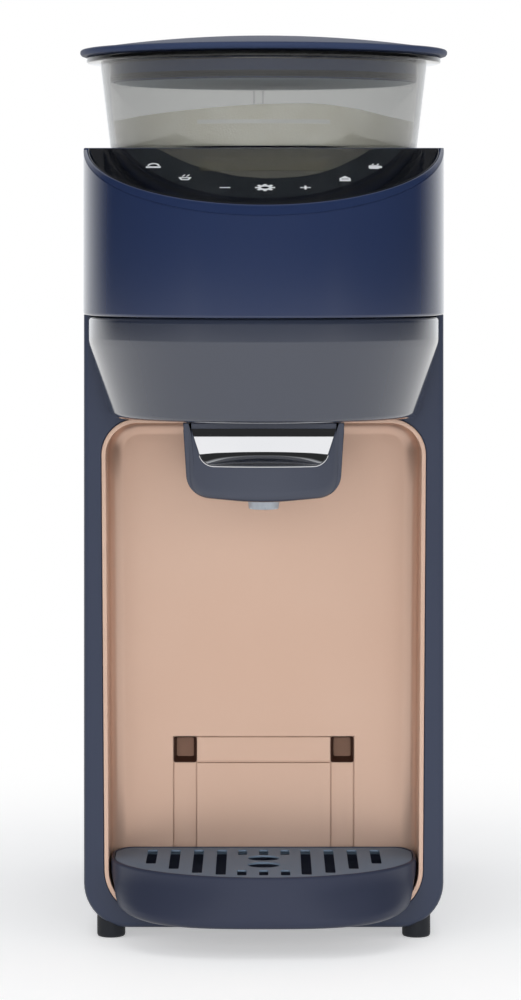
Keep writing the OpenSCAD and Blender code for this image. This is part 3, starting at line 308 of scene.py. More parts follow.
# ABS moulded in a polished tool: deep colour with a clear, even gloss
navyAbs = surface("navyGlossAbs", "273455", "222f50", 0.12, patchMm=120, grainMm=2.4, grainDepthMm=0.002,
    IOR=1.5, **{"Coat Weight": 0.3, "Coat Roughness": 0.1})
# the same ABS from a satin tool
navySatin = surface("navySatinAbs", "2f384f", "2a334a", 0.3, patchMm=120, grainMm=1.2, grainDepthMm=0.004,
    IOR=1.5)
# grey ABS: the glossy chin, the satin drawer, and the duller tray, grate and lid
slateAbs = surface("slateGlossAbs", "323848", "2f3545", 0.15, patchMm=90, grainMm=1.6, grainDepthMm=0.003,
    IOR=1.5, **{"Coat Weight": 1.0, "Coat Roughness": 0.1})
drawerAbs = surface("slateSatinAbs", "3f4453", "3b404f", 0.24, patchMm=60, grainMm=1.6, grainDepthMm=0.003,
    IOR=1.5)
trayAbs = surface("traySatinAbs", "383d50", "34394b", 0.4, grainMm=1.2, grainDepthMm=0.004,
    **{"Specular IOR Level": 0.25})
grateAbs = surface("grateSatinAbs", "76889c", "708296", 0.5, grainMm=0.9, grainDepthMm=0.008,
    **{"Specular IOR Level": 0.2})
lidAbs = surface("lidSatinAbs", "3b4663", "36415d", 0.42, grainMm=1.2, grainDepthMm=0.004,
    **{"Specular IOR Level": 0.06})
# pale inner part of the lid, which lights the container from above; its colour is painted light, lightened
# to stand for the light the powder reflects up onto it
paintedLightUnderside = surface("paleSatinAbsPaintedLight", "b6c4d4", "afbdcd", 0.45, grainMm=1.2, grainDepthMm=0.004)
# copper lacquer over plastic: a satin metallic sheen with a fine flake
copperLacquer = surface("copperLacquer", "e2c1ad", "dbb8a3", 0.31, patchMm=90, grainMm=0.7,
    grainDepthMm=0.004, Metallic=0.52, IOR=1.5)
# the same lacquer inside the windows, where little light reaches
shadedCopper = surface("copperInShade", "8a6654", "80604e", 0.5, patchMm=12, grainMm=0.6,
    grainDepthMm=0.006, Metallic=0.2)
darkCopper = surface("copperInShadow", "4b2f24", "43291f", 0.5, patchMm=12, grainMm=0.6, grainDepthMm=0.006,
    Metallic=0.2)
# glass printed black on its underside: near black with a hard mirror gloss
printedGlass = surface("blackPrintedGlass", "0b0e14", "080a10", 0.03, patchMm=80, grainMm=6,
    grainDepthMm=0.0006, roughSpread=0.01, IOR=1.52, **{"Specular IOR Level": 0.38})
# opaque white ink, screened on the glass
whiteInk = surface("whiteScreenInk", "f2f4f6", "e6e9ec", 0.4, patchMm=6, grainMm=0.4, grainDepthMm=0.002)
# unlit reflective display behind the dark glass: dull olive
displayOlive = surface("unlitDisplay", "302e1f", "2c2a1c", 0.1, patchMm=20, grainMm=0.5, grainDepthMm=0.001,
    **{"Specular IOR Level": 0.38})
displayMark = surface("unlitSegments", "29271a", "262417", 0.12, patchMm=10, grainMm=0.5,
    grainDepthMm=0.001, **{"Specular IOR Level": 0.38})
# chrome plate over plastic: a clean mirror
chromePlate = surface("chromePlate", "eeeef0", "e8e9ec", 0.04, patchMm=30, grainMm=3, grainDepthMm=0.001,
    roughSpread=0.01, Metallic=1.0)
# moulded polypropylene: slightly waxy, and milky where it is thin
milkyPp = surface("milkyPolypropylene", "dfe3e8", "d3d8de", 0.38, patchMm=20, grainMm=0.8,
    **{"Subsurface Weight": 0.25, "Subsurface Scale": 0.004})
whitePp = surface("whitePolypropylene", "efefec", "e4e4e0", 0.34, patchMm=25, grainMm=0.8)
# engineering plastics, dull and dry
acetal = surface("mouldedAcetal", "ece7db", "e0dacc", 0.36, patchMm=12, grainMm=0.6)
darkNylon = surface("darkNylon", "2b2e36", "23262d", 0.48, patchMm=20, grainMm=0.5, grainDepthMm=0.015)
# silicone: matt, with a soft bloom
blackRubber = surface("blackSilicone", "1c1f26", "171a20", 0.6, patchMm=12, grainMm=0.4, grainDepthMm=0.02)
greySilicone = surface("greySilicone", "a4abb3", "949ba4", 0.55, patchMm=12, grainMm=0.4,
    grainDepthMm=0.015)
# zinc plate is a little cloudy, ground steel brighter
platedSteel = surface("zincPlatedSteel", "b4b8be", "a2a7ad", 0.3, patchMm=10, grainMm=0.4,
    grainDepthMm=0.01, Metallic=1.0)
groundSteel = surface("groundSteel", "c9ccd1", "bcc0c6", 0.2, patchMm=10, grainMm=0.25, grainDepthMm=0.006,
    Metallic=1.0)
# green solder lacquer with a faint sheen
circuitBoard = surface("lacqueredBoard", "2f6142", "235035", 0.35, patchMm=5, grainMm=0.7,
    grainDepthMm=0.03)
# milk powder: cream, fully matt, with a soft clumpy face
powderMilk = surface("milkPowder", "f1efe4", "e9e6d8", 0.95, patchMm=14, grainMm=0.9, grainDepthMm=0.2)


def clearPlastic(name, tint, roughness=0.04, waveMm=12, smoke=0.0, clear=1.0, shade=0.75):
    # moulded copolyester: clear, tinted, with a faint unevenness from the mould
    material = bpy.data.materials.new(name)
    material.use_nodes = True
    tree = material.node_tree
    tree.nodes.clear()
    place = addNode(tree, "ShaderNodeTexCoord")
    wave = addNode(tree, "ShaderNodeTexNoise", None, {"Scale": 1000 / waveMm, "Detail": 1},
        {"Vector": (place, "Object")})
    bump = addNode(tree, "ShaderNodeBump", None, {"Strength": 0.25, "Distance": 0.02 * mm},
        {"Height": (wave, "Fac")})
    gloss = addNode(tree, "ShaderNodeMapRange", None,
        {"To Min": roughness * 0.7, "To Max": roughness * 1.3}, {"Value": (wave, "Fac")})
    shader = addNode(tree, "ShaderNodeBsdfPrincipled", None,
        {"Base Color": paint(tint), "Transmission Weight": clear, "IOR": 1.5},
        {"Roughness": (gloss, "Result"), "Normal": (bump, "Normal")})
    # lamps shine through the wall
    rays = addNode(tree, "ShaderNodeLightPath")
    passing = addNode(tree, "ShaderNodeBsdfTransparent", None, {"Color": (shade, shade, shade, 1)})
    wall = addNode(tree, "ShaderNodeMixShader", None, None,
        {0: (rays, "Is Shadow Ray"), 1: (shader, "BSDF"), 2: (passing, "BSDF")})
    output = addNode(tree, "ShaderNodeOutputMaterial", None, None, {"Surface": (wall, "Shader")})
    if smoke:                                    # light lost per metre, which darkens the wall edge on
        haze = addNode(tree, "ShaderNodeVolumeAbsorption", None,
            {"Color": (0.5, 0.5, 0.5, 1), "Density": smoke})
        tree.links.new(haze.outputs["Volume"], output.inputs["Volume"])
    return material


smokyClear = clearPlastic("smokyCopolyester", "f4f5f4", smoke=265)
tankClear = clearPlastic("tankCopolyester", "d3d6da")
funnelClear = clearPlastic("frostedFunnel", "dfe6ee", roughness=0.3, clear=0.35)
print("materials made:", len(bpy.data.materials))


column = {
    "halfW": 80, "low": 4.6, "cornerR": 20, "edgeR": 2.4, "wall": 2.6, "notchHalfW": 11, "notchLow": 238}
bay = {"topHalfW": 70.2, "top": 229, "topR": 14, "lowHalfW": 68.6, "low": 12.6, "lowR": 18}


def columnOutline(g=0, topIn=0):
    w, low, r = column["halfW"] - g, column["low"] + g, column["cornerR"] - g
    return rounded([(-w, seamZ - topIn, 0.01), (w, seamZ - topIn, 0.01), (w, low, r), (-w, low, r)], 12)


def bayOutline(g=0):
    # opening of the bottle bay, larger by g all round
    wide, narrow, top, low = bay["topHalfW"] + g, bay["lowHalfW"] + g, bay["top"] + g, bay["low"] - g
    topR, lowR = bay["topR"] + g, bay["lowR"] + g
    return rounded([(-wide, top, topR), (wide, top, topR), (narrow, low, lowR), (-narrow, low, lowR)], 12)


# Column: one shell, open at the back, with a stepped seat for the liner's rim
shellT, edgeR = column["wall"], column["edgeR"]
rings = []
for grow, deep in ((1.4, shellT), (1.4, 1.25), (2.15, 1.2), (2.15, 0.3), (2.45, 0)):
    rings.append(atY(bayOutline(grow), faceY + deep))
for k in range(6):
    a = math.pi / 2 * k / 5
    rings.append(atY(columnOutline(edgeR * (1 - math.sin(a))), faceY + edgeR * (1 - math.cos(a))))
rings += [atY(columnOutline(0), coverY - 0.4), atY(columnOutline(0.4), coverY - 0.05)]
rings += [atY(columnOutline(shellT, shellT), y) for y in (coverY - 0.05, faceY + shellT)]
bodyShell = makeObject("bodyShell", Shape().loft(rings, loop=True))
inX, notchX = column["halfW"] - shellT, column["notchHalfW"]
openTop = block(-inX, faceY + 2.7, seamZ - 7.2, inX, coverY + 1, seamZ + 2.8)
chuteNotch = block(-notchX, faceY - 1, column["notchLow"], notchX, faceY + 3.6, seamZ + 4.8)
carve(bodyShell, [openTop, chuteNotch])
finishPiece(bodyShell, "housing", navySatin, ["body_shell"], sharp=40)

# Copper liner: bright rim, hollow cove round the back, two hook slots with windows, the strip between them
liner = {
    "t": 1.2, "rim": 2.0, "coveR": 7, "depth": 35,
    "slotX": 35.6, "slotW": 10.4, "slotLow": 14.9, "slotDepth": 1.6,
    "windowLow": 73.5, "windowH": 11.7, "windowDepth": 5.6, "cupR": 0.9, "lineW": 0.55}
backIn, coveR, rim = faceY + liner["depth"], liner["coveR"], liner["rim"]
rings = [atY(bayOutline(rim), faceY + 1.1)]
for a in (0, 30, 60, 90):
    s, c = math.sin(math.radians(a)), math.cos(math.radians(a))
    rings.append(atY(bayOutline(rim - 0.3 * (1 - c)), faceY - 0.2 - 0.3 * s))
for a in (90, 60, 30, 0):
    s, c = math.sin(math.radians(a)), math.cos(math.radians(a))
    rings.append(atY(bayOutline(0.35 - 0.35 * c), faceY - 0.15 - 0.35 * s))
rings.append(atY(bayOutline(0), backIn - coveR))
for k in range(1, 9):
    a = math.pi / 2 * k / 8
    rings.append(atY(bayOutline(-coveR * (1 - math.cos(a))), backIn - coveR + coveR * math.sin(a)))
linerShape = Shape().loft(rings, capEnd=True)
t = liner["t"]
behind = ((rim, faceY + 1.1), (t, faceY + 1.1), (t, backIn - 6), (-6, backIn + 6.6))
linerShape.loft([atY(bayOutline(g), y) for g, y in behind], capEnd=True)
bayLiner = makeObject("bayLiner", linerShape)
slotX, slotW, slotLow, lineW = liner["slotX"], liner["slotW"], liner["slotLow"], liner["lineW"]
windowLow, windowTop = liner["windowLow"], liner["windowLow"] + liner["windowH"]
cutFrom, slotIn, windowIn = backIn - 1, backIn + liner["slotDepth"], backIn + liner["windowDepth"]
halfLine = lineW / 2
cuts = [block(-slotX, cutFrom, windowLow + 0.6, slotX, backIn + 0.5, windowTop - 0.6)]
for z in (windowLow, windowTop):                 # fine grooves above and below the strip
    reach = slotX + slotW / 2 + halfLine
    cuts.append(block(-reach, cutFrom, z - halfLine, reach, slotIn + 0.1, z + halfLine))
for side in (-1, 1):
    x0, x1 = side * slotX - slotW / 2, side * slotX + slotW / 2
    cuts.append(block(x0, cutFrom, slotLow, x1, slotIn, windowTop))
    cuts.append(block(x0, cutFrom, windowLow, x1, windowIn, windowTop))
    for x in (x0, x1):
        cuts.append(block(x - halfLine, cutFrom, slotLow, x + halfLine, slotIn + 1.2, windowTop + halfLine))
carve(bayLiner, cuts)
finishPiece(
    bayLiner, "housing", copperLacquer, ["bay_liner"], bevel=0.3, segments=2, bevelAngle=62)

# Shaded cups that line the two windows, narrower towards their floors
cupWalls, cupFloors = Shape(), Shape()
for side in (-1, 1):
    rings = []
    for y, g, up in ((backIn + 0.3, 0.4, 0.4), (backIn + 0.1, 0.05, 0.05), (windowIn - 0.05, 1.3, 2.2)):
        x0, x1 = side * slotX - slotW / 2 + g, side * slotX + slotW / 2 - g
        z0, z1, r = windowLow + up, windowTop - g * 0.6, liner["cupR"]
        mouth = rounded([(x0, z0, r), (x1, z0, r), (x1, z1, r), (x0, z1, r)], 4)
        rings.append(atY(mouth, y))
    cupWalls.loft(rings)
    cupFloors.loft([atY(mouth, windowIn - 0.3), atY(mouth, windowIn - 0.05)], capStart=True, capEnd=True)
finishPiece(makeObject("windowCupWalls", cupWalls), "housing", darkCopper)
finishPiece(makeObject("windowCupFloors", cupFloors), "housing", shadedCopper)

# Rear cover with louvres, and holes over the sunk screws
rear = {
    "vents": 6, "ventW": 70, "ventH": 3, "ventStep": 7.2, "ventLow": 287.2,
    "screwX": 73.8, "screwZ": (130, 263.2), "screwR": 3.1}
halfW, low, r = column["halfW"], column["low"], column["cornerR"]
outline = rounded([(-halfW, deckUnder, 0.5), (halfW, deckUnder, 0.5), (halfW, low, r), (-halfW, low, r)],
    12)
holes = []
for k in range(rear["vents"]):
    z = rear["ventLow"] + k * rear["ventStep"]
    holes.append(rect(-rear["ventW"] / 2, z, rear["ventW"] / 2, z + rear["ventH"], 1.45, 5))
for side in (-1, 1):
    holes += [circle(side * rear["screwX"], z, rear["screwR"], 24) for z in rear["screwZ"]]
coverShape = Shape().plate([outline] + holes, -backY, -coverY - 0.05, 0.7, lay=upright)
finishPiece(makeObject("rearCover", coverShape), "housing", navyAbs, ["rear_cover"])
print("column made")


head = {"r": 80, "drop": 25.8, "band": 4.9, "wall": 2.6, "edgeR": 1.2, "glassIn": 2.12}
panelTilt = math.atan(head["drop"] / head["r"])


def headPath(g=0):
    # plan of the head from the back left, round the front, to the back right
    r = head["r"] - g
    straight = [(-r, y) for y in (coverY, 45, 5, -35, faceY + 0.01)]
    turns = [math.pi + math.pi * k / 96 for k in range(97)]
    arc = [(r * math.cos(a), faceY + r * math.sin(a)) for a in turns]
    return straight + arc + [(-x, y) for x, y in straight[::-1]]


def headTop(y):
    # height of the wall's top edge, which slopes down with the panel
    return deckZ + (y - faceY) * math.tan(panelTilt) if y <= faceY else deckUnder - 0.05


def headBand(y):
    # height of the line under the band that borders the panel
    drop = head["drop"] + head["band"]
    return deckZ + (y - faceY) * drop / head["r"] if y <= faceY else deckUnder - 0.05


def headRing(g, share=None, z=None):
    # share runs from 0 at the lower line of the band to 1 at the panel
    ring = []
    for (x, y), (_, outerY) in zip(headPath(g), headPath()):
        low, top = headBand(outerY), headTop(outerY)
        ring.append((x, y, z if share is None else low + (top - low) * share))
    return ring


def dropped(ring, d):
    return [(x, y, z - d) for x, y, z in ring]


lowZ, shellT, edgeR = seamZ + 0.02, head["wall"], head["edgeR"]
rings = [headRing(shellT, z=lowZ), headRing(edgeR, z=lowZ)]
for a in (30, 60, 90):
    s, c = math.sin(math.radians(a)), math.cos(math.radians(a))
    rings.append(headRing(edgeR * (1 - s), z=lowZ + edgeR * (1 - c)))
# a fine groove, then the band that rounds over to the glass
rings += [dropped(headRing(0, 0), 0.25), dropped(headRing(0.12, 0), 0.08)]
bandSteps = (
    (0.42, 0), (0.42, 0.06), (0.16, 0.11), (0.2, 0.14), (0.35, 0.3),
    (0.75, 0.6), (1.15, 0.86), (1.45, 0.96), (1.75, 1), (1.95, 1))
rings += [headRing(g, share) for g, share in bandSteps]
rings += [dropped(headRing(g, 1), d) for g, d in ((2.05, 0.12), (2.08, shellT), (shellT, shellT))]
headShell = makeObject("headShell", Shape().loft(rings, wrap=False, loop=True, capStart=True, capEnd=True))
finishPiece(headShell, "housing", navyAbs, ["head_shell"], sharp=38)


def onSlope(p):
    # x across, y up the slope from its back edge, z out of the glass
    c, s = math.cos(panelTilt), math.sin(panelTilt)
    return (p[0], faceY + p[1] * c - p[2] * s, deckZ + p[1] * s + p[2] * c)


def glassOutline():
    r, c = head["r"] - head["glassIn"], math.cos(panelTilt)
    turns = [math.pi + math.pi * k / 96 for k in range(97)]
    return [(r * math.cos(a), min(-0.35, r * math.sin(a) / c)) for a in turns]


panelGlass = makeObject("panelGlass", Shape().plate([glassOutline()], -2.4, -0.05, 0.35, lay=onSlope))
finishPiece(panelGlass, "housing", printedGlass, ["panel_glass"])

# The photograph: its scale in the plane of the column's face, its point straight ahead, where it was taken
photo = {"mmPerPixel": 0.4444, "aheadX": 263.7, "aheadY": 235, "distance": 1733, "eyeZ": 312.6}


def panelSpot(px, py):
    # place on the slope of a point in the photograph
    scale, distance = photo["mmPerPixel"], photo["distance"]
    rise = (photo["aheadY"] - py) * scale
    nearer = (deckZ - photo["eyeZ"] - rise) / (math.tan(panelTilt) - rise / distance)
    return ((px - photo["aheadX"]) * scale * (distance - nearer) / distance, -nearer / math.cos(panelTilt))


def printOn(name, loops, material, lift=0.04):
    # thin ink on the glass
    shape = Shape()
    for group in loops:
        shape.plate(group, -0.05, lift - 0.02, 0.01, lay=onSlope, steps=1)
    return finishPiece(makeObject(name, shape), "housing", material)


def strip(x0, y0, x1, y1, w):
    d = Vector((x1 - x0, y1 - y0)).normalized() * w / 2
    n = Vector((-d.y, d.x))
    return [(x0 - n.x, y0 - n.y), (x1 - n.x, y1 - n.y), (x1 + n.x, y1 + n.y), (x0 + n.x, y0 + n.y)]


def archBand(r0, r1, tall):
    # half ring, stretched upwards
    turns = [math.pi * k / 16 for k in range(17)]
    outer = [(r1 * math.cos(a), tall * r1 * math.sin(a)) for a in turns]
    return outer + [(r0 * math.cos(a), tall * r0 * math.sin(a)) for a in turns[::-1]]


# Generic icons, in millimetres on the glass, and the points in the photograph where they stand
iconPixels = {
    "gear": (265, 187.5), "minus": (225, 187.5), "plus": (305.5, 187.5), "dish": (153.5, 165.5),
    "bowl": (185, 177.5), "scoop": (345, 178.5), "bottle": (376, 167)}
icons = []


def addIcon(name, *groups):
    x, y = panelSpot(*iconPixels[name])
    icons.extend([[(px + x, py + y) for px, py in loop] for loop in group] for group in groups)


gear = []
for k in range(8):
    a = math.radians(45 * k)
    for da, r in ((-13, 3.2), (-9, 4.4), (9, 4.4), (13, 3.2)):
        gear.append((r * math.cos(a + math.radians(da)), 1.15 * r * math.sin(a + math.radians(da))))
plus = [(-2.3, -0.5), (-0.45, -0.5), (-0.45, -2.7), (0.45, -2.7), (0.45, -0.5), (2.3, -0.5)]
plus += [(-x, -y) for x, y in plus]
dome = [(x, y - 0.4) for x, y in archBand(1.8, 2.7, 1.5)]
bowl = [(-2.9, 0.4), (-1.7, -3.6), (1.7, -3.6), (2.9, 0.4)]
bowlHole = [(-1.7, -0.7), (1.7, -0.7), (1.1, -2.5), (-1.1, -2.5)]
roof = [(-2.4, -3.8), (2.4, -3.8), (2.4, 0.2), (0, 3.8), (-2.4, 0.2)]
roofHole = [(-1.5, -1.2), (1.5, -1.2), (1.5, -0.2), (-1.5, -0.2)]
bottle = [(-3.2, -2.6, 1), (1.0, -2.6, 1), (1.9, -1.3, 0.3), (2.6, -1.3, 0.2)]
bottle += [(x, -y, r) for x, y, r in bottle[::-1]]
addIcon("gear", [gear, circle(0, 0, 1.7, 20)])
addIcon("minus", [strip(-2.3, 0, 2.3, 0, 1.0)])
addIcon("plus", [plus])
addIcon("dish", [dome], [rect(-3.3, -3.4, 3.3, -1.3, 0.7)])
addIcon("bowl", [bowl, bowlHole], [strip(-1.2, 1.5, -0.1, 4.2, 0.6)], [strip(0.7, 1.5, 1.8, 4.2, 0.6)])
addIcon("scoop", [roof, roofHole])
drops = [[strip(x, 3.4, x + 0.6, 4.8, 0.7)] for x in (-1.6, 0.6)]
addIcon("bottle", [rounded(bottle, 3)], *drops)
printOn("touchIcons", icons, whiteInk)

# Unlit display with the digits of a plain counter; its height comes from two rows of the photograph
display = {"halfW": 28.2, "topPixel": 157, "lowPixel": 170.5, "digits": 4, "digitStep": 9}
bars = (
    (0, 5, 4, 0.9), (0, 0, 4, 0.9), (0, -5, 4, 0.9),
    (-2.4, 2.5, 0.8, 4), (2.4, 2.5, 0.8, 4), (-2.4, -2.5, 0.8, 4), (2.4, -2.5, 0.8, 4))
displayTop, displayLow = (panelSpot(photo["aheadX"], display[key])[1] for key in ("topPixel", "lowPixel"))
displayOutline = rect(-display["halfW"], displayLow, display["halfW"], displayTop, 0.8)
printOn("displayWindow", [[displayOutline]], displayOlive, 0.03)
segments = []
for k in range(display["digits"]):
    cx, cy = (k - (display["digits"] - 1) / 2) * display["digitStep"], (displayTop + displayLow) / 2
    for dx, dy, w, h in bars:
        segments.append([rect(cx + dx - w / 2, cy + dy - h / 2, cx + dx + w / 2, cy + dy + h / 2, 0.2, 2)])
printOn("displaySegments", segments, displayMark, 0.045)

# Deck under the container, with the coupling hole, the powder outlet and a locating groove
deck = {"couplingR": 11, "outletR": 8, "grooveIn": 61.9, "grooveOut": 64.9, "grooveDeep": 1.2, "hubR": 14}
foreY = faceY + 0.05
outline = rounded([(-halfW, foreY, 0.4), (halfW, foreY, 0.4), (halfW, backY, 2), (-halfW, backY, 2)], 6)
holes = [circle(0, 0, deck["couplingR"], 64), circle(0, outletY, deck["outletR"], 48)]
topDeck = makeObject("topDeck", Shape().plate([outline] + holes, deckUnder, deckZ, 0.6))
grooveIn, grooveOut, grooveLow = deck["grooveIn"], deck["grooveOut"], -deck["grooveDeep"]
groove = [(grooveIn, grooveLow), (grooveOut, grooveLow), (grooveOut, 1), (grooveIn, 1)]
carve(topDeck, [Shape().revolve([(r, deckZ + z) for r, z in groove], steps=128)])
finishPiece(topDeck, "housing", navyAbs, ["top_deck"])
hubR, couplingR = deck["hubR"], deck["couplingR"]
hub = [
    (4.2, -8), (hubR - 0.8, -8), (hubR, -7.2), (hubR, 0.05), (couplingR, 0.05), (couplingR, -5.5),
    (couplingR - 0.5, -6), (4.2, -6)]
deckHub = makeObject("deckHub", Shape().revolve([(r, deckUnder + z) for r, z in hub], steps=64))
finishPiece(deckHub, "housing", navyAbs)

# Chin: a turned cover under the head, open over the mixing funnel
chin = {"low": 232.0, "h": 45.2, "topR": 77.8, "lowR": 68.2, "band": 12.0, "wall": 2.6, "holeR": 24}
topR, lowR, h, flareZ, wall = chin["topR"], chin["lowR"], chin["h"], chin["h"] - chin["band"], chin["wall"]
outer = rounded([(0.01, 0, 0), (lowR, 0, 3.6), (topR, flareZ, 14), (topR, h, 2.6), (0.01, h, 0)], 9)
inR = topR - wall
inner = rounded([(0.01, wall, 0), (lowR - 2.4, wall, 2), (inR, flareZ, 8), (inR, h, 0), (0.01, h, 0)], 6)
profile = [(r, chin["low"] + z) for r, z in outer[:-1] + inner[:-1][::-1]]
chinShape = Shape().revolve(profile, centre=(0, faceY), steps=96, start=180, sweep=180)
chinCover = makeObject("chinCover", chinShape)
carve(chinCover, [rod(0, nozzleY, chin["holeR"], chin["low"] - 2, chin["low"] + 4, 64)])
finishPiece(chinCover, "housing", slateAbs, ["chin_cover"], sharp=35)
print("head made")


drawer = {
    "r": 64.4, "low": 198.0, "top": 231.65, "halfTop": 34.7, "halfFoot": 32.8, "footR": 10,
    "sag": 1.6, "sagW": 64, "edgeR": 3.4, "wall": 12.0, "pullDepth": 9.0}
recess = {"halfTop": 31.9, "halfFoot": 26.1, "low": 213.4, "cornerR": 6.5, "edgeR": 0.5}
foremostY = faceY - drawer["r"]
frameIn, pullIn = foremostY + drawer["wall"], foremostY + drawer["pullDepth"]


def frontOf(x):
    # the drawer's round front
    r = drawer["r"]
    return faceY - math.sqrt(max(1, r * r - x * x))


def openPath(points, steps=12):
    # open path with rounded corners, its ends kept
    return rounded([points[0] + (0,)] + points[1:-1] + [points[-1] + (0,)], steps)


def drawerSection(g=0, gInner=0):
    # outer outline and edge of the finger recess, with as many points each
    top, foot, footR = drawer["top"], drawer["low"] + drawer["sag"], drawer["footR"] - g
    wide, narrow = drawer["halfTop"] - g, drawer["halfFoot"] - g
    outerPath = openPath([(-wide, top), (-narrow, foot + g, footR), (narrow, foot + g, footR), (wide, top)])
    low, lowR = recess["low"] - gInner, recess["cornerR"] + gInner
    wide, narrow = recess["halfTop"] + gInner, recess["halfFoot"] + gInner
    innerPath = openPath([(-wide, top), (-narrow, low, lowR), (narrow, low, lowR), (wide, top)])
    middle = len(outerPath) // 2
    paths = []
    for path in (outerPath, innerPath):
        (x0, z0), (x1, _) = path[middle - 1], path[middle]
        between = [(x0 + (x1 - x0) * k / 12, z0) for k in range(1, 12)]
        paths.append(path[:middle] + between + path[middle:])
    outerPath = []
    for x, z in paths[0]:                        # the foot sags in the middle
        if z < foot + 12 and abs(x) < drawer["sagW"] / 2:
            z -= drawer["sag"] * math.cos(math.pi * x / drawer["sagW"]) ** 2
        outerPath.append((x, z))
    return outerPath, paths[1]


# Drawer front: a U round the finger recess, with round edges
uShape = Shape()
edgeR, innerR = drawer["edgeR"], recess["edgeR"]
front = []
for k in range(9):
    row = []
    for (x0, z0), (x1, z1) in zip(*drawerSection(edgeR, innerR)):
        x, z = x0 + (x1 - x0) * k / 8, z0 + (z1 - z0) * k / 8
        row.append((x, frontOf(x), z))
    front.append(row)
uShape.loft(front, wrap=False)
sides = []
for a in range(0, 91, 15):
    s, c = math.sin(math.radians(a)), math.cos(math.radians(a))
    outerPath, innerPath = drawerSection(edgeR * (1 - s), innerR * (1 - s))
    ring = [(x, frontOf(x) + edgeR * (1 - c), z) for x, z in outerPath]
    sides.append(ring + [(x, frontOf(x) + innerR * (1 - c), z) for x, z in innerPath[::-1]])
outerPath, innerPath = drawerSection()
sides.append(atY(outerPath + innerPath[::-1], pullIn))
uShape.loft(sides)
drawerFront = makeObject("drawerFront", uShape)
finishPiece(drawerFront, "drawer", drawerAbs, ["funnel_drawer"], sharp=38)

# Behind it, a plate and a stepped tub round the mixing funnel
tub = {"back": -57.6, "from": frameIn - 0.3}
tubSteps = (                                     # half width, corner, underside, top, radius of the bore
    (32, 2.5, 224.8, 226.8, 26.1), (32, 2.5, 207.3, 224.9, 24.4), (28.6, 2.0, 202.0, 207.5, 24.4),
    (24.6, 2.0, 200.3, 202.1, 8.9))
tubShape = Shape().plate([outerPath], -frameIn, -pullIn + 0.05, 0.3, lay=upright)
for half, corner, under, top, boreR in tubSteps:
    bore = circle(0, nozzleY, boreR, 64 if boreR > 10 else 40)
    tubShape.plate([rect(-half, tub["from"], half, tub["back"], corner, 6), bore], under, top, 0.4)
finishPiece(makeObject("drawerTub", tubShape), "drawer", drawerAbs)

# Chromed scoop in the recess, with a bright bead round its edge
scoop = {
    "top": 229.3, "low": 213.6, "t": 0.55, "beadR": 0.42, "curlFrom": 0.63,
    "leans": ((0, -7), (0.2, -2), (0.36, 6), (0.6, 6), (1, 0))}
scoopTop, scoopH = scoop["top"], scoop["top"] - scoop["low"]


def recessHalf(z):
    # half width of the recess at a height
    pts = sorted([p for p in drawerSection()[1] if p[0] > 0], key=lambda p: p[1])
    for (x0, z0), (x1, z1) in zip(pts, pts[1:]):
        if z0 <= z <= z1 and z1 > z0:
            return x0 + (x1 - x0) * (z - z0) / (z1 - z0)
    return pts[-1][0]


def leanOf(share):
    # lean of the scoop in degrees: up at its top edge, then down, then level
    leans = scoop["leans"]
    for (s0, a0), (s1, a1) in zip(leans, leans[1:]):
        if share <= s1:
            return a0 + (a1 - a0) * (share - s0) / (s1 - s0)
    return 0


depths = [0]
for k in range(1, 101):
    depths.append(depths[-1] + math.tan(math.radians(leanOf(k / 100))) * scoopH / 100)


def scoopY(x, z):
    # gentle lean, then a curl forward to the drawer's front at the foot
    share = min(1, (scoopTop - z) / scoopH)
    base = pullIn - 0.6 - max(depths) + depths[round(100 * share)]
    start = scoop["curlFrom"] + 0.03 * (x / 26) ** 2
    if share <= start:
        return base
    curl = min(1, (share - start) / (1 - start))
    return base - (base - frontOf(x) - 0.5) * (1 - math.sqrt(1 - curl * curl)) ** 0.8


rows = []
for k in range(41):
    z = scoopTop - scoopH * math.sin(math.pi / 2 * k / 40)
    half = recessHalf(z + 0.02) - 0.05
    rows.append([(half * (i / 16 - 1), scoopY(half * (i / 16 - 1), z), z) for i in range(33)])
pullPlate = makeObject("pullPlate", Shape().sheet(rows, scoop["t"]))
finishPiece(pullPlate, "drawer", chromePlate, ["pull_plate"], sharp=60)
beadPath = [(x * 0.997, frontOf(x) + 0.3, z) for x, z in drawerSection()[1] if z < scoopTop + 2]
recessBead = makeObject("recessBead", Shape().tube(beadPath, (0, 1, 0), scoop["beadR"]))
finishPiece(recessBead, "drawer", chromePlate, sharp=60)

# Rails under the chin: two L-shaped runners that follow the drawer's outline, and a back wall
rails = {"t": 2.4, "top": 228.7, "lipZ": 207, "lipX": 30.3, "front": frameIn + 0.3, "back": backIn - 6}
outX, inX, lipX = drawer["halfTop"], drawer["halfTop"] - rails["t"], rails["lipX"]
railTop, lipZ, railBack = rails["top"], rails["lipZ"], rails["back"]
railShape = Shape()
outerPath = drawerSection()[0]
runner = [(abs(x), z) for x, z in outerPath if x < -lipX - 0.1][1:]
lip = [(lipX, runner[-1][1]), (lipX, lipZ), (inX, lipZ), (inX, railTop)]
for side in (-1, 1):
    section = [(side * x, z) for x, z in [(outX, railTop)] + runner + lip]
    railShape.loft([atY(section, y) for y in (rails["front"], railBack)], capStart=True, capEnd=True)
section = outerPath[1:-1] + [(outX - 0.1, railTop), (0.1 - outX, railTop)]
railShape.loft([atY(section, y) for y in (railBack - rails["t"], railBack)], capStart=True, capEnd=True)
drawerRails = makeObject("drawerRails", railShape)
finishPiece(
    drawerRails, "housing", drawerAbs, ["drawer_rails"], bevel=0.35, segments=2)

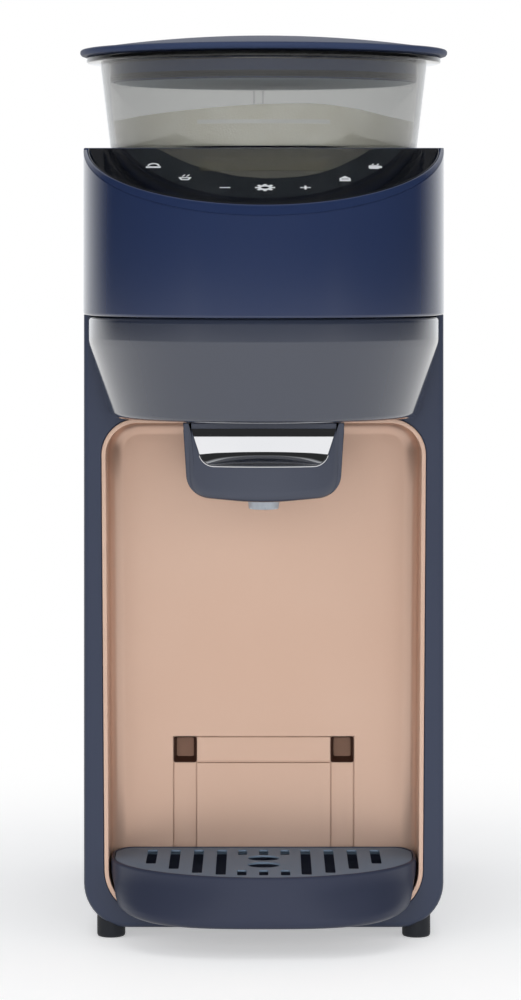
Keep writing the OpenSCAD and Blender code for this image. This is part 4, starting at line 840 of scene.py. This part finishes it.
# Mixing funnel with three outlets in its tip
funnel = {
    "tipZ": 191.8, "neckZ": 203.0, "rimZ": 224.9,
    "tipR": 6.6, "neckR": 8.2, "coneR": 23.6, "rimR": 25.9, "rimIn": 22.8, "t": 1.4,
    "outlets": 3, "outletR": 1.25, "outletAt": 2.9, "notches": 6, "notchR": 1.1}
tipZ, neckZ, rimZ, tipR, neckR = (funnel[key] for key in ("tipZ", "neckZ", "rimZ", "tipR", "neckR"))
coneR, rimR, rimIn, t = (funnel[key] for key in ("coneR", "rimR", "rimIn", "t"))
profile = [(0.01, tipZ), (tipR - 0.7, tipZ), (tipR - 0.2, tipZ + 0.2), (tipR, tipZ + 0.7), (neckR, neckZ)]
profile += [(coneR, rimZ - 3.4), (coneR + 0.2, rimZ - 2.8), (coneR + 0.2, rimZ), (rimR - 0.4, rimZ)]
profile += [(rimR, rimZ + 0.4), (rimR, rimZ + 1.2), (rimR - 0.4, rimZ + 1.6), (rimIn, rimZ + 1.6)]
profile += [(rimIn - 0.4, rimZ + 1.2), (rimIn - 0.4, rimZ - 3), (neckR - t, neckZ)]
profile += [(tipR - t, tipZ + 1.5), (0.01, tipZ + 1.4)]
mixingFunnel = makeObject("mixingFunnel", Shape().revolve(profile, centre=(0, nozzleY), steps=96))
cuts = []
for k in range(funnel["outlets"]):
    a = math.radians(30 + 360 * k / funnel["outlets"])
    cx, cy = funnel["outletAt"] * math.cos(a), nozzleY + funnel["outletAt"] * math.sin(a)
    cuts.append(rod(cx, cy, funnel["outletR"], tipZ - 1, tipZ + 3, 20))
for k in range(funnel["notches"]):               # drip notches round the tip
    a = math.radians(30 + 360 * k / funnel["notches"])
    cx, cy = (tipR - 0.2) * math.cos(a), nozzleY + (tipR - 0.2) * math.sin(a)
    cuts.append(rod(cx, cy, funnel["notchR"], tipZ - 1, tipZ + 0.9, 16))
carve(mixingFunnel, cuts)
finishPiece(mixingFunnel, "drawer", funnelClear, ["mixing_funnel"], sharp=50)
print("drawer made")


container = {
    "footR": 70.9, "topR": 75.6, "wall": 2.5, "floor": 2.6, "h": 43.4, "flangeR": 82.0, "flangeT": 2.8}
containerZ = deckZ + 0.02


def boreAt(z):
    # inner radius at a height above the deck
    rise = (z - container["floor"]) / (container["h"] - container["floor"])
    return container["footR"] - container["wall"] + (container["topR"] - container["footR"]) * rise


h, flangeR, under = container["h"], container["flangeR"], container["h"] - container["flangeT"]
profile = [(9, 0), (69.6, 0), (70.4, 0.25), (70.85, 0.8), (70.95, 1.4), (75.5, under - 0.8)]
profile += [(75.7, under - 0.2), (76.2, under), (flangeR - 0.8, under), (flangeR - 0.2, under + 0.3)]
profile += [(flangeR, under + 0.8), (flangeR, h - 0.7), (flangeR - 0.3, h - 0.2), (flangeR - 0.8, h)]
profile += [(73.9, h), (73.3, h - 0.3), (73.0, h - 0.9), (68.6, 4.6), (68.4, 2.4), (68.0, 1.4), (67.2, 1.0)]
profile += [(61, 1.0), (60, container["floor"]), (9, container["floor"])]
containerShape = Shape().revolve([(r, containerZ + z) for r, z in profile], steps=180)
powderContainer = makeObject("powderContainer", containerShape)
carve(powderContainer, [rod(0, outletY, deck["outletR"], deckZ - 2, deckZ + 4)])
finishPiece(powderContainer, "container", smokyClear, ["powder_container"], sharp=35)

# Milk powder: heaped right of the middle, falling gently to the left, hollow over the dosing wheel
heap = {
    "ridgeX": 14, "top": 371.4, "fall": 7, "leftReach": 81, "rightReach": 62, "rightFall": 1.15,
    "backRise": 0.016,
    "wheelR": 61.4, "wheelTop": 362.6, "gap": 0.12}


def moundZ(x, y):
    past = x - heap["ridgeX"]
    if past < 0:
        fall = (-past / heap["leftReach"]) ** 1.7
    else:
        fall = heap["rightFall"] * math.sin(min(1, past / heap["rightReach"]) * math.pi / 2) ** 2.6
    swell = noise.noise(Vector((x * 0.05, y * 0.05, 3.1)))
    ripple = noise.noise(Vector((x * 0.2, y * 0.2, 7.7)))
    return heap["top"] - heap["fall"] * fall + heap["backRise"] * (y + 70) + (0.25 * swell + 0.1 * ripple)


turns = [(math.cos(2 * math.pi * k / 128), math.sin(2 * math.pi * k / 128)) for k in range(128)]
wheelR, gap = heap["wheelR"], heap["gap"]
rings = [[(wheelR * c, wheelR * n, heap["wheelTop"]) for c, n in turns]]
for r, z in ((wheelR, 1.1), (67.0, 1.1), (67.9, 1.5), (68.2, 2.4), (boreAt(6) - gap, 6)):
    rings.append([(r * c, r * n, containerZ + z) for c, n in turns])
edgeR = 69.6
for r in [edgeR, 69.3, 68.6, 67, 64.5] + list(range(61, 4, -4)) + [2]:
    ring = []
    for c, n in turns:
        inside = min(r, boreAt(moundZ(69 * c, 69 * n) - deckZ) - gap)
        ring.append((inside * c, inside * n, moundZ(inside * c, inside * n) - (0.25 if r == edgeR else 0)))
    rings.append(ring)
milkPowder = makeObject("milkPowder", Shape().loft(rings, capStart=True, capEnd=True))
finishPiece(milkPowder, "container", powderMilk, sharp=60)

# Lid: a shallow dome inside a round rim, over a plug with a groove for its gasket
lid = {
    "z": 395.0, "domeR": 80.6, "domeFoot": 3.3, "domeH": 6.1, "t": 2, "plugLow": -12.3, "plugGap": 0.6,
    "grooveLow": -11.5, "grooveTop": -8.7, "grooveDeep": 1.2}
domeR, plugLow = lid["domeR"], lid["plugLow"]
plugR = boreAt(28.2) - lid["plugGap"]            # at the gasket's height


def domeTop(r):
    return lid["domeFoot"] + lid["domeH"] * (1 - (r / domeR) ** 2)


def lidTurned(name, points, steps=180):
    # a turned piece of the lid, its heights measured from the container's mouth
    return makeObject(name, Shape().revolve([(r, lid["z"] + z) for r, z in points], steps=steps))


grooveR, grooveLow, grooveTop = plugR - lid["grooveDeep"], lid["grooveLow"], lid["grooveTop"]
profile = [(0.01, plugLow), (plugR - 0.9, plugLow), (plugR - 0.3, plugLow + 0.2), (plugR, plugLow + 0.5)]
profile += [(plugR, grooveLow), (grooveR, grooveLow), (grooveR, grooveTop), (plugR, grooveTop)]
profile += [(plugR, -0.6), (plugR + 0.4, -0.1), (plugR + 1, 0), (83.2, 0), (84.3, 0.35), (84.9, 1.1)]
profile += [(85.0, 1.9), (84.8, 2.6), (84.2, 3.05), (83.2, 3.3), (82, 3.36), (81.2, 3.3)]
profile += [(r, domeTop(r)) for r in [domeR] + list(range(80, 3, -4)) + [0.01]]
profile += [(max(0.01, r), domeTop(r) - lid["t"]) for r in range(0, 61, 6)]
profile += [(plugR - 3.2, 0.6), (plugR - 3.2, plugLow + lid["t"]), (0.01, plugLow + lid["t"])]
finishPiece(lidTurned("powderLid", profile), "lid", lidAbs, ["powder_lid"], sharp=32)
# the plug's pale underside: painted light, its colour lightened to show the light reflected up from the
# powder
underside = [(0.01, plugLow - 0.25), (plugR - 2.2, plugLow - 0.25), (plugR - 1.9, plugLow - 0.1)]
underside += [(plugR - 1.9, plugLow + 0.4), (0.01, plugLow + 0.4)]
finishPiece(lidTurned("plugFloor", underside, 120), "lid", paintedLightUnderside, sharp=40)
# a ring of black silicone round the top of the plug, at the container's mouth: painted shade, which darkens
# the band under the lid's rim
shadeRingProfile = [(0.02, -3.6), (0.7, -3.3), (1.2, -2.6), (1.2, -0.5), (0.9, -0.2), (0.45, -0.15), (0.02, -0.6)]
rimShadeRing = lidTurned("rimShadeRing", [(plugR + out, z) for out, z in shadeRingProfile])
finishPiece(rimShadeRing, "lid", blackRubber, sharp=50)

# Two fine level ribs inside the container's back wall
ribs = Shape()
for x in (-4.7, -0.3):
    path = []
    for z in (9, 20, 31, 40):
        r = boreAt(z) - 0.1
        path.append((x, math.sqrt(r * r - x * x), containerZ + z))
    ribs.tube(path, (1, 0, 0), 0.35, 8)
finishPiece(makeObject("levelRibs", ribs), "container", smokyClear, sharp=60)
print("container made")


tray = {
    "low": 12.9, "top": 35.5, "halfW": 68.2, "reach": 60.4, "wideY": -67, "back": -40.3,
    "sideR": 17.8, "foreSideR": 11.5, "lipZ": 34.3, "seatZ": 32.6, "hookHalfW": 4.8}


def trayPlan(g=0, fuller=0):
    # an ellipse round the front, then the back corners and the back; fuller makes it squarer
    half, reach, wideY = tray["halfW"] - g, tray["reach"] - g, tray["wideY"]
    power = 1 - 0.35 * fuller
    arc = []
    for k in range(65):
        c, n = math.cos(math.pi * k / 64), math.sin(math.pi * k / 64)
        arc.append((-half * math.copysign(abs(c) ** power, c), wideY - reach * n ** power))
    back = tray["back"] - g
    rearW = half - 4.6 - 5.2 * fuller
    corners = [(half, wideY, 0), (half, wideY + 14, 11), (rearW, back, 7 - g * 0.5), (0, back, 0)]
    rightSide = rounded(corners, 7)[1:-1]
    return arc + rightSide + [(-x, y) for x, y in rightSide[::-1]]


def trayWidthShare(z, y=0):
    # upright sides and round lower corners, rounder inside the column than in front of it
    ahead = max(0, min(1, (-77 - y) / 14))
    r = tray["sideR"] - (tray["sideR"] - tray["foreSideR"]) * ahead * ahead * (3 - 2 * ahead)
    up = z - tray["low"]
    half = tray["halfW"] - 0.6 + 0.6 * up / (tray["top"] - tray["low"])
    if up < r:
        half -= r - math.sqrt(max(0, r * r - (r - up) ** 2))
    return half / tray["halfW"]


def trayRing(g, z, shareZ=None):
    # drawn in by g; its width is that at shareZ, where one is given
    level = z if shareZ is None else shareZ
    backLift = 1.3 * max(0, 7.5 - (z - tray["low"]))
    fuller = max(0, min(1, (tray["top"] - 5 - z) / 15))
    back = tray["back"] - g - backLift
    return [(x * trayWidthShare(level, y), min(y, back), z) for x, y in trayPlan(g, fuller)]


low, top, lipZ, seatZ = tray["low"], tray["top"], tray["lipZ"], tray["seatZ"]
rings = [trayRing(4.2, low, low + 0.2), trayRing(2.6, low, low + 0.2), trayRing(1.4, low + 0.4, low + 0.5)]
rings += [trayRing(0.7, 14.0), trayRing(0.25, 15.0)]
rings += [trayRing(0, z) for z in (16.4, 18.5, 21, 24, 27, 30.4, lipZ)]
lipSteps = ((0.25, top - 0.4), (0.8, top), (1.35, top), (1.6, top - 0.3), (1.6, seatZ), (3.4, seatZ - 0.1))
rings += [trayRing(g, z, lipZ) for g, z in lipSteps]
rings += [trayRing(g, z) for g, z in ((3.4, 30), (3.4, 24), (3.6, 18), (5, 15.6), (7, 15.0))]
trayShape = Shape().loft(rings, capStart=True, capEnd=True)
for side in (-1, 1):                             # hooks that ride in the liner's slots
    x0, x1 = side * slotX - tray["hookHalfW"], side * slotX + tray["hookHalfW"]
    rings = []
    for z, e in ((24.5, 0.8), (25.1, 0), (32.9, 0), (33.5, 0.8)):
        y0, y1 = tray["back"] - 1.0, tray["back"] + 1.9 - e
        rings.append(atZ([(x0, y0), (x1, y0), (x1 - e, y1), (x0 + e, y1)], z))
    trayShape.loft(rings, capStart=True, capEnd=True)
finishPiece(makeObject("dripTray", trayShape), "tray", trayAbs, ["drip_tray"], sharp=40)

grate = {
    "pitch": 10.4, "slotW": 4.4, "lengths": (67.5, 62.7, 52, 37.8), "t": 2.6, "gap": 1.85, "cornerR": 0.9,
    "holeW": 4, "holeH": 13.5, "holePitch": 9.5, "holeRows": (13.5, 69.3),
    "discR": 7, "discRows": (22.6, 41.6)}
slotBack = tray["back"] - 8.6


def grateLoops(grow, back):
    # outline and holes; the lower layer has wider holes, which keeps the edges of the upper one thin
    share = trayWidthShare(tray["lipZ"])
    loops = [[(x * share, y) for x, y in trayPlan(grate["gap"])]]
    half, cornerR = grate["slotW"] / 2 + grow, grate["cornerR"]
    for side in (-1, 1):
        for k, length in enumerate(grate["lengths"]):
            x, y0 = side * (1.8 + k) * grate["pitch"], slotBack - length - back / 6
            loops.append(rect(x - half, y0, x + half, slotBack + back, cornerR, 4))
    if grow:                                     # one wide opening under the small holes
        return loops + [rect(-13.4, slotBack - 71, 13.4, slotBack + back, 2, 5)]
    half = grate["holeW"] / 2
    for k in (-1, 0, 1):
        x = k * grate["holePitch"]
        for y in (slotBack - row for row in grate["holeRows"]):
            loops.append(rect(x - half, y, x + half, y + grate["holeH"], cornerR, 4))
    return loops + [circle(0, slotBack - row, grate["discR"], 40) for row in grate["discRows"]]


grateShape = Shape().plate(grateLoops(0, 0), top - 1.2, top - 0.25, 0.3)
grateShape.plate(grateLoops(1.5, 3), top - grate["t"] - 0.2, top - 1.15, 0.3)
finishPiece(makeObject("dripGrate", grateShape), "grate", grateAbs, ["drip_grate"])
print("tray made")


# Water tank at the back, its dock, and the hinge of its lid
tank = {
    "front": 86, "back": 152, "w": 153.4, "foot": 104, "rim": 343.0, "wall": 2.2, "floor": 106.9,
    "valveY": 119, "valveR": 5, "lidIn": 0.6}
dock = {"front": backY + 0.05, "back": 155, "low": 4.6, "top": 110, "seat": 104, "cornerR": 20, "w": 160}
gland = {"x": 34, "z": 24, "r": 8.1}
hinge = {"y": 147.5, "z": 346.8, "x": 30, "lugW": 8, "lugR": 3, "gap": 0.5, "pinR": 1.55}


def tankPlan(y0, y1, g=0, w=160, r=32, steps=12):
    x = w / 2 - g
    return rounded([(-x, y0 + g, 3), (x, y0 + g, 3), (x, y1 - g, r - g), (-x, y1 - g, r - g)], steps)


def dockRing(g, z):
    # lower side corners follow the column
    up, r = z - dock["low"], dock["cornerR"]
    w = dock["w"] - 2 * (r - math.sqrt(max(0, r * r - (r - up) ** 2)) if up < r else 0)
    return atZ(tankPlan(dock["front"], dock["back"], g, w), z)


low, top, seat = dock["low"], dock["top"], dock["seat"]
dockSteps = [(3, low), (1.2, low), (0.5, low + 0.4), (0.1, low + 1.2)]
dockSteps += [(0, z) for z in (7, 9, 12, 16, 20, 24.6, 60)] + [(0, top - 1.2), (0.35, top - 0.35),
    (1.2, top)]
rings = [dockRing(g, z) for g, z in dockSteps]
# the tank's seat, sunk into the dock's top
rings.append(atZ(tankPlan(tank["front"] - 1, tank["back"] + 1, 0, 155.4), top))
for g, z in ((0, top - 0.7), (0, seat), (12, seat)):
    rings.append(atZ(tankPlan(tank["front"] - 0.3, tank["back"] + 0.3, g, 154), z))
tankDock = makeObject("tankDock", Shape().loft(rings, capStart=True, capEnd=True))
inside = block(-70, backY + 2.6, low + 2.6, 70, 140, seat - 2.6)
floorHole = block(-60, 100, low - 2.6, 60, 136, low + 3.4)
glandHole = circle(gland["x"], gland["z"], gland["r"], 40)
glandCut = Shape().loft([atY(glandHole, y) for y in (153.4, 156)], capStart=True, capEnd=True)
carve(tankDock, [inside, floorHole, glandCut, rod(0, tank["valveY"], 10, seat - 8, seat + 2, 48)])
finishPiece(tankDock, "housing", navyAbs, ["tank_dock"], sharp=40)


def tankRing(g, z, inwards=0):
    # inwards is set for the lid, which is a little smaller than the tank
    plan = tankPlan(tank["front"] + inwards, tank["back"] - inwards, g, tank["w"] - 2 * inwards)
    return atZ(plan, z)


foot, rim, wall = tank["foot"], tank["rim"], tank["wall"]
tankSteps = [(4, foot + 0.05), (1.2, foot + 0.3), (0.3, foot + 1.2)]
tankSteps += [(0, z) for z in (107, 112, 160, 220, 280, 336, rim - 0.6)]
tankSteps += [(0.5, rim), (wall - 0.5, rim)] + [(wall, z) for z in (rim - 0.6, 280, 220, 160, 110)]
tankSteps += [(wall + 0.6, 108), (wall + 2.4, tank["floor"])]
tankShape = Shape().loft([tankRing(g, z) for g, z in tankSteps], capStart=True, capEnd=True)
waterTank = makeObject("waterTank", tankShape)
carve(waterTank, [rod(0, tank["valveY"], tank["valveR"], foot - 2, foot + 5)])
finishPiece(waterTank, "tank", tankClear, ["water_tank"], sharp=38)

# Hinge lugs on the tank, round about the pin
hingeY, hingeZ, lugR = hinge["y"], hinge["z"], hinge["lugR"]
section = [(hingeY - lugR, 337), (hingeY - lugR, hingeZ)]
for turn in range(180, -1, -15):
    a = math.radians(turn)
    section.append((hingeY + lugR * math.cos(a), hingeZ + lugR * math.sin(a)))
section.append((hingeY + 2.3, 337))
lugs = Shape()
for side in (-1, 1):
    x0 = side * hinge["x"] - hinge["lugW"] / 2
    lugs.loft([atX(section, x) for x in (x0, x0 + hinge["lugW"])], capStart=True, capEnd=True)
hingeLugs = makeObject("tankHingeLugs", lugs)
finishPiece(hingeLugs, "tank", tankClear, bevel=0.4, segments=2)

# Tank lid: shallow pan, with a finger notch, a round back edge, gaps for the lugs and a bore for the pin
lidSteps = (
    (3, 0.35), (0.6, 0.35), (0, 0.9), (0, 5.6), (0.25, 6.4), (0.9, 7.0), (1.9, 7.28), (7, 7.28), (7.6, 6.7),
    (9, 6.5))
rings = [tankRing(g, rim + z, tank["lidIn"]) for g, z in lidSteps]
tankLid = makeObject("tankLid", Shape().loft(rings, capStart=True, capEnd=True))
backR = lugR + hinge["gap"]
backEdge = [(hingeY, 355)]
for turn in range(90, -91, -15):
    a = math.radians(turn)
    backEdge.append((hingeY + backR * math.cos(a), hingeZ + backR * math.sin(a)))
backEdge += [(hingeY, 338), (165, 338), (165, 355)]
notch = block(-12, 84, 347.3, 12, 94.5, 352)
cuts = [notch, Shape().loft([atX(backEdge, x) for x in (-90, 90)], capStart=True, capEnd=True)]
for side in (-1, 1):
    middle, half = side * hinge["x"], hinge["lugW"] / 2 + 0.3
    cuts.append(block(middle - half, hingeY - 5, 340, middle + half, 160, 360))
pinBore = circle(hingeY, hingeZ, hinge["pinR"], 24)
cuts.append(Shape().loft([atX(pinBore, x) for x in (-38, 38)], capStart=True, capEnd=True))
carve(tankLid, cuts)
finishPiece(tankLid, "tank_cover", lidAbs, ["tank_lid"], bevel=0.35, segments=2)

feet = {"r": 6.3, "at": ((-68, -68), (68, -68), (-49.7, 133), (49.7, 133)), "frontTop": 9.5, "rearTop": 4.7}
footShape = Shape()
for cx, cy in feet["at"]:
    r, top = feet["r"], feet["frontTop"] if cy < 0 else feet["rearTop"]
    foot = [(0.01, 0), (r - 1.3, 0), (r - 0.5, 0.25), (r - 0.1, 0.8), (r, 1.5), (r, top), (0.01, top)]
    footShape.revolve(foot, centre=(cx, cy), steps=48)
finishPiece(makeObject("rubberFeet", footShape), "housing", blackRubber, ["feet"], sharp=40)
print("tank made")


# Inner parts keep the shape of their solids, with their edges rounded
finishes = {
    "display_module": displayOlive, "control_board": circuitBoard, "power_board": circuitBoard,
    "powder_chute": milkyPp, "water_spout": milkyPp, "pump_hose": milkyPp, "heater_hose": milkyPp,
    "spout_hose": milkyPp, "drive_bracket": darkNylon, "dock_floor": darkNylon, "cable_gland": darkNylon,
    "drive_motor": platedSteel, "water_pump": platedSteel, "flow_heater": platedSteel,
    "case_screws": platedSteel, "drive_spindle": groundSteel, "lid_hinge_pin": groundSteel,
    "drive_gear": acetal, "motor_pinion": acetal, "outlet_scraper": whitePp, "dosing_wheel": whitePp,
    "agitator": whitePp, "lid_gasket": blackRubber, "dock_seal": greySilicone, "tank_valve": greySilicone}
softParts = ("pump_hose", "heater_hose", "spout_hose", "lid_gasket")
for name, material in finishes.items():
    node = nodes[name]
    node.data.materials.clear()
    node.data.materials.append(material)
    if name not in softParts:
        edge = node.modifiers.new("Edges", "BEVEL")
        edge.width, edge.segments, edge.limit_method = 0.25 * mm, 2, "ANGLE"
        edge.angle_limit = math.radians(50)
print("CAD nodes finished:", len(finishes))


scene = bpy.context.scene
scene.view_settings.view_transform = "Standard"
light = {
    "sky": 0.36, "behind": 1.15, "above": 0.5, "dim": 0.03,
    "front": 36, "key": 6, "fill": 5, "top": 6, "back": 5}
paperSweep = {"glow": 0.42, "clouds": 60, "fadeFrom": 0.2,
    "fadeTo": 0.5}    # clouds a metre; fade in metres

world = bpy.data.worlds.new("studio")
scene.world = world
world.use_nodes = True
tree = world.node_tree
tree.nodes.clear()
rays = addNode(tree, "ShaderNodeLightPath")
where = addNode(tree, "ShaderNodeTexCoord")
split = addNode(tree, "ShaderNodeSeparateXYZ", None, None, {"Vector": (where, "Generated")})
# what gloss sees: a white backdrop behind the object and a soft light overhead, in a dim room
behind = addNode(tree, "ShaderNodeMapRange", {"interpolation_type": "SMOOTHSTEP"},
    {"From Min": 0.35, "From Max": 0.95, "To Min": light["dim"], "To Max": light["behind"]},
    {"Value": (split, "Y")})
above = addNode(tree, "ShaderNodeMapRange", {"interpolation_type": "SMOOTHSTEP"},
    {"From Min": 0.7, "From Max": 0.95, "To Min": 0.0, "To Max": light["above"]}, {"Value": (split, "Z")})
brighter = addNode(tree, "ShaderNodeMath", {"operation": "MAXIMUM"}, None,
    {0: (behind, "Result"), 1: (above, "Result")})
dim = addNode(tree, "ShaderNodeBackground", None, {"Color": paint("f3f5f8")},
    {"Strength": (brighter, "Value")})
soft = addNode(tree, "ShaderNodeBackground", None, {"Color": paint("f6f8fb"), "Strength": light["sky"]})
white = addNode(tree, "ShaderNodeBackground", None, {"Color": (1, 1, 1, 1), "Strength": 1.0})
glossMix = addNode(tree, "ShaderNodeMixShader", None, None,
    {0: (rays, "Is Glossy Ray"), 1: (soft, "Background"), 2: (dim, "Background")})
clearMix = addNode(tree, "ShaderNodeMixShader", None, None,
    {0: (rays, "Is Transmission Ray"), 1: (glossMix, "Shader"), 2: (white, "Background")})
seenMix = addNode(tree, "ShaderNodeMixShader", None, None,
    {0: (rays, "Is Camera Ray"), 1: (clearMix, "Shader"), 2: (white, "Background")})
addNode(tree, "ShaderNodeOutputWorld", None, None, {"Surface": (seenMix, "Shader")})

floorPaper = bpy.data.materials.new("whitePaperSweep")
floorPaper.use_nodes = True
tree = floorPaper.node_tree
tree.nodes.clear()
rays = addNode(tree, "ShaderNodeLightPath")
place = addNode(tree, "ShaderNodeTexCoord")
fibre = addNode(tree, "ShaderNodeTexNoise", None, {"Scale": paperSweep["clouds"], "Detail": 4},
    {"Vector": (place, "Object")})
tones = addNode(tree, "ShaderNodeValToRGB", None, None, {"Fac": (fibre, "Fac")})
tones.color_ramp.elements[0].color, tones.color_ramp.elements[1].color = paint("f0f0f0"), paint("f4f4f4")
paper = addNode(tree, "ShaderNodeBsdfDiffuse", None, None, {"Color": (tones, "Color")})
glow = addNode(tree, "ShaderNodeEmission", None, {"Color": (1, 1, 1, 1), "Strength": paperSweep["glow"]})
bright = addNode(tree, "ShaderNodeEmission", None, {"Color": (1, 1, 1, 1), "Strength": 1.0})
lit = addNode(tree, "ShaderNodeAddShader", None, None, {0: (paper, "BSDF"), 1: (glow, "Emission")})
# the paper fades to plain white away from the object
far = addNode(tree, "ShaderNodeVectorMath", {"operation": "LENGTH"}, None, {0: (place, "Object")})
fade = addNode(tree, "ShaderNodeMapRange", {"interpolation_type": "SMOOTHSTEP"},
    {"From Min": paperSweep["fadeFrom"], "From Max": paperSweep["fadeTo"]}, {"Value": (far, "Value")})
sweep = addNode(tree, "ShaderNodeMixShader", None, None,
    {0: (fade, "Result"), 1: (lit, "Shader"), 2: (bright, "Emission")})
either = addNode(tree, "ShaderNodeMath", {"operation": "MAXIMUM"}, None,
    {0: (rays, "Is Camera Ray"), 1: (rays, "Is Glossy Ray")})
seenRays = addNode(tree, "ShaderNodeMath", {"operation": "MAXIMUM"}, None,
    {0: (either, "Value"), 1: (rays, "Is Transmission Ray")})
both = addNode(tree, "ShaderNodeMixShader", None, None,
    {0: (seenRays, "Value"), 1: (paper, "BSDF"), 2: (sweep, "Shader")})
addNode(tree, "ShaderNodeOutputMaterial", None, None, {"Surface": (both, "Shader")})
reach = 9000
floorShape = Shape().loft([[(-reach, y, 0), (reach, y, 0)] for y in (-reach, reach)], wrap=False)
floor = makeObject("paperFloor", floorShape)
floor.data.materials.append(floorPaper)


def softbox(name, place, aim, width, height, power):
    lamp = bpy.data.lights.new(name, "AREA")
    lamp.shape, lamp.size, lamp.size_y, lamp.energy = "RECTANGLE", width, height, power
    obj = bpy.data.objects.new(name, lamp)
    obj.location = place
    obj.rotation_euler = (Vector(aim) - Vector(place)).to_track_quat("-Z", "Y").to_euler()
    obj.visible_glossy = False                   # gloss sees the world's backdrop instead
    scene.collection.objects.link(obj)


softbox("frontSoft", (0, -2.7, 0.5), (0, 0, 0.2), 2.6, 1.0, light["front"])
softbox("keyLeft", (-1.6, -1.7, 1.2), (0, 0, 0.2), 1.4, 1.6, light["key"])
softbox("fillRight", (1.7, -1.6, 0.9), (0, 0, 0.2), 1.4, 1.6, light["fill"])
softbox("topSoft", (0, -0.1, 1.9), (0, 0, 0.3), 1.6, 1.6, light["top"])
softbox("backSoft", (0.2, 2.0, 1.2), (0, 0, 0.25), 1.8, 1.4, light["back"])

camera = bpy.data.cameras.new("camera")
# level, from where the photograph was taken
camera.lens, camera.sensor_width, camera.sensor_fit = 140.4, 36, "AUTO"
camera.shift_x, camera.shift_y = -0.0032, -0.265
camera.clip_start, camera.clip_end = 0.05, 60
cameraObject = bpy.data.objects.new("camera", camera)
cameraObject.location = (0, (faceY - photo["distance"]) * mm, photo["eyeZ"] * mm)
cameraObject.rotation_euler = (math.pi / 2, 0, 0)
scene.collection.objects.link(cameraObject)
scene.camera = cameraObject
print("stage made")
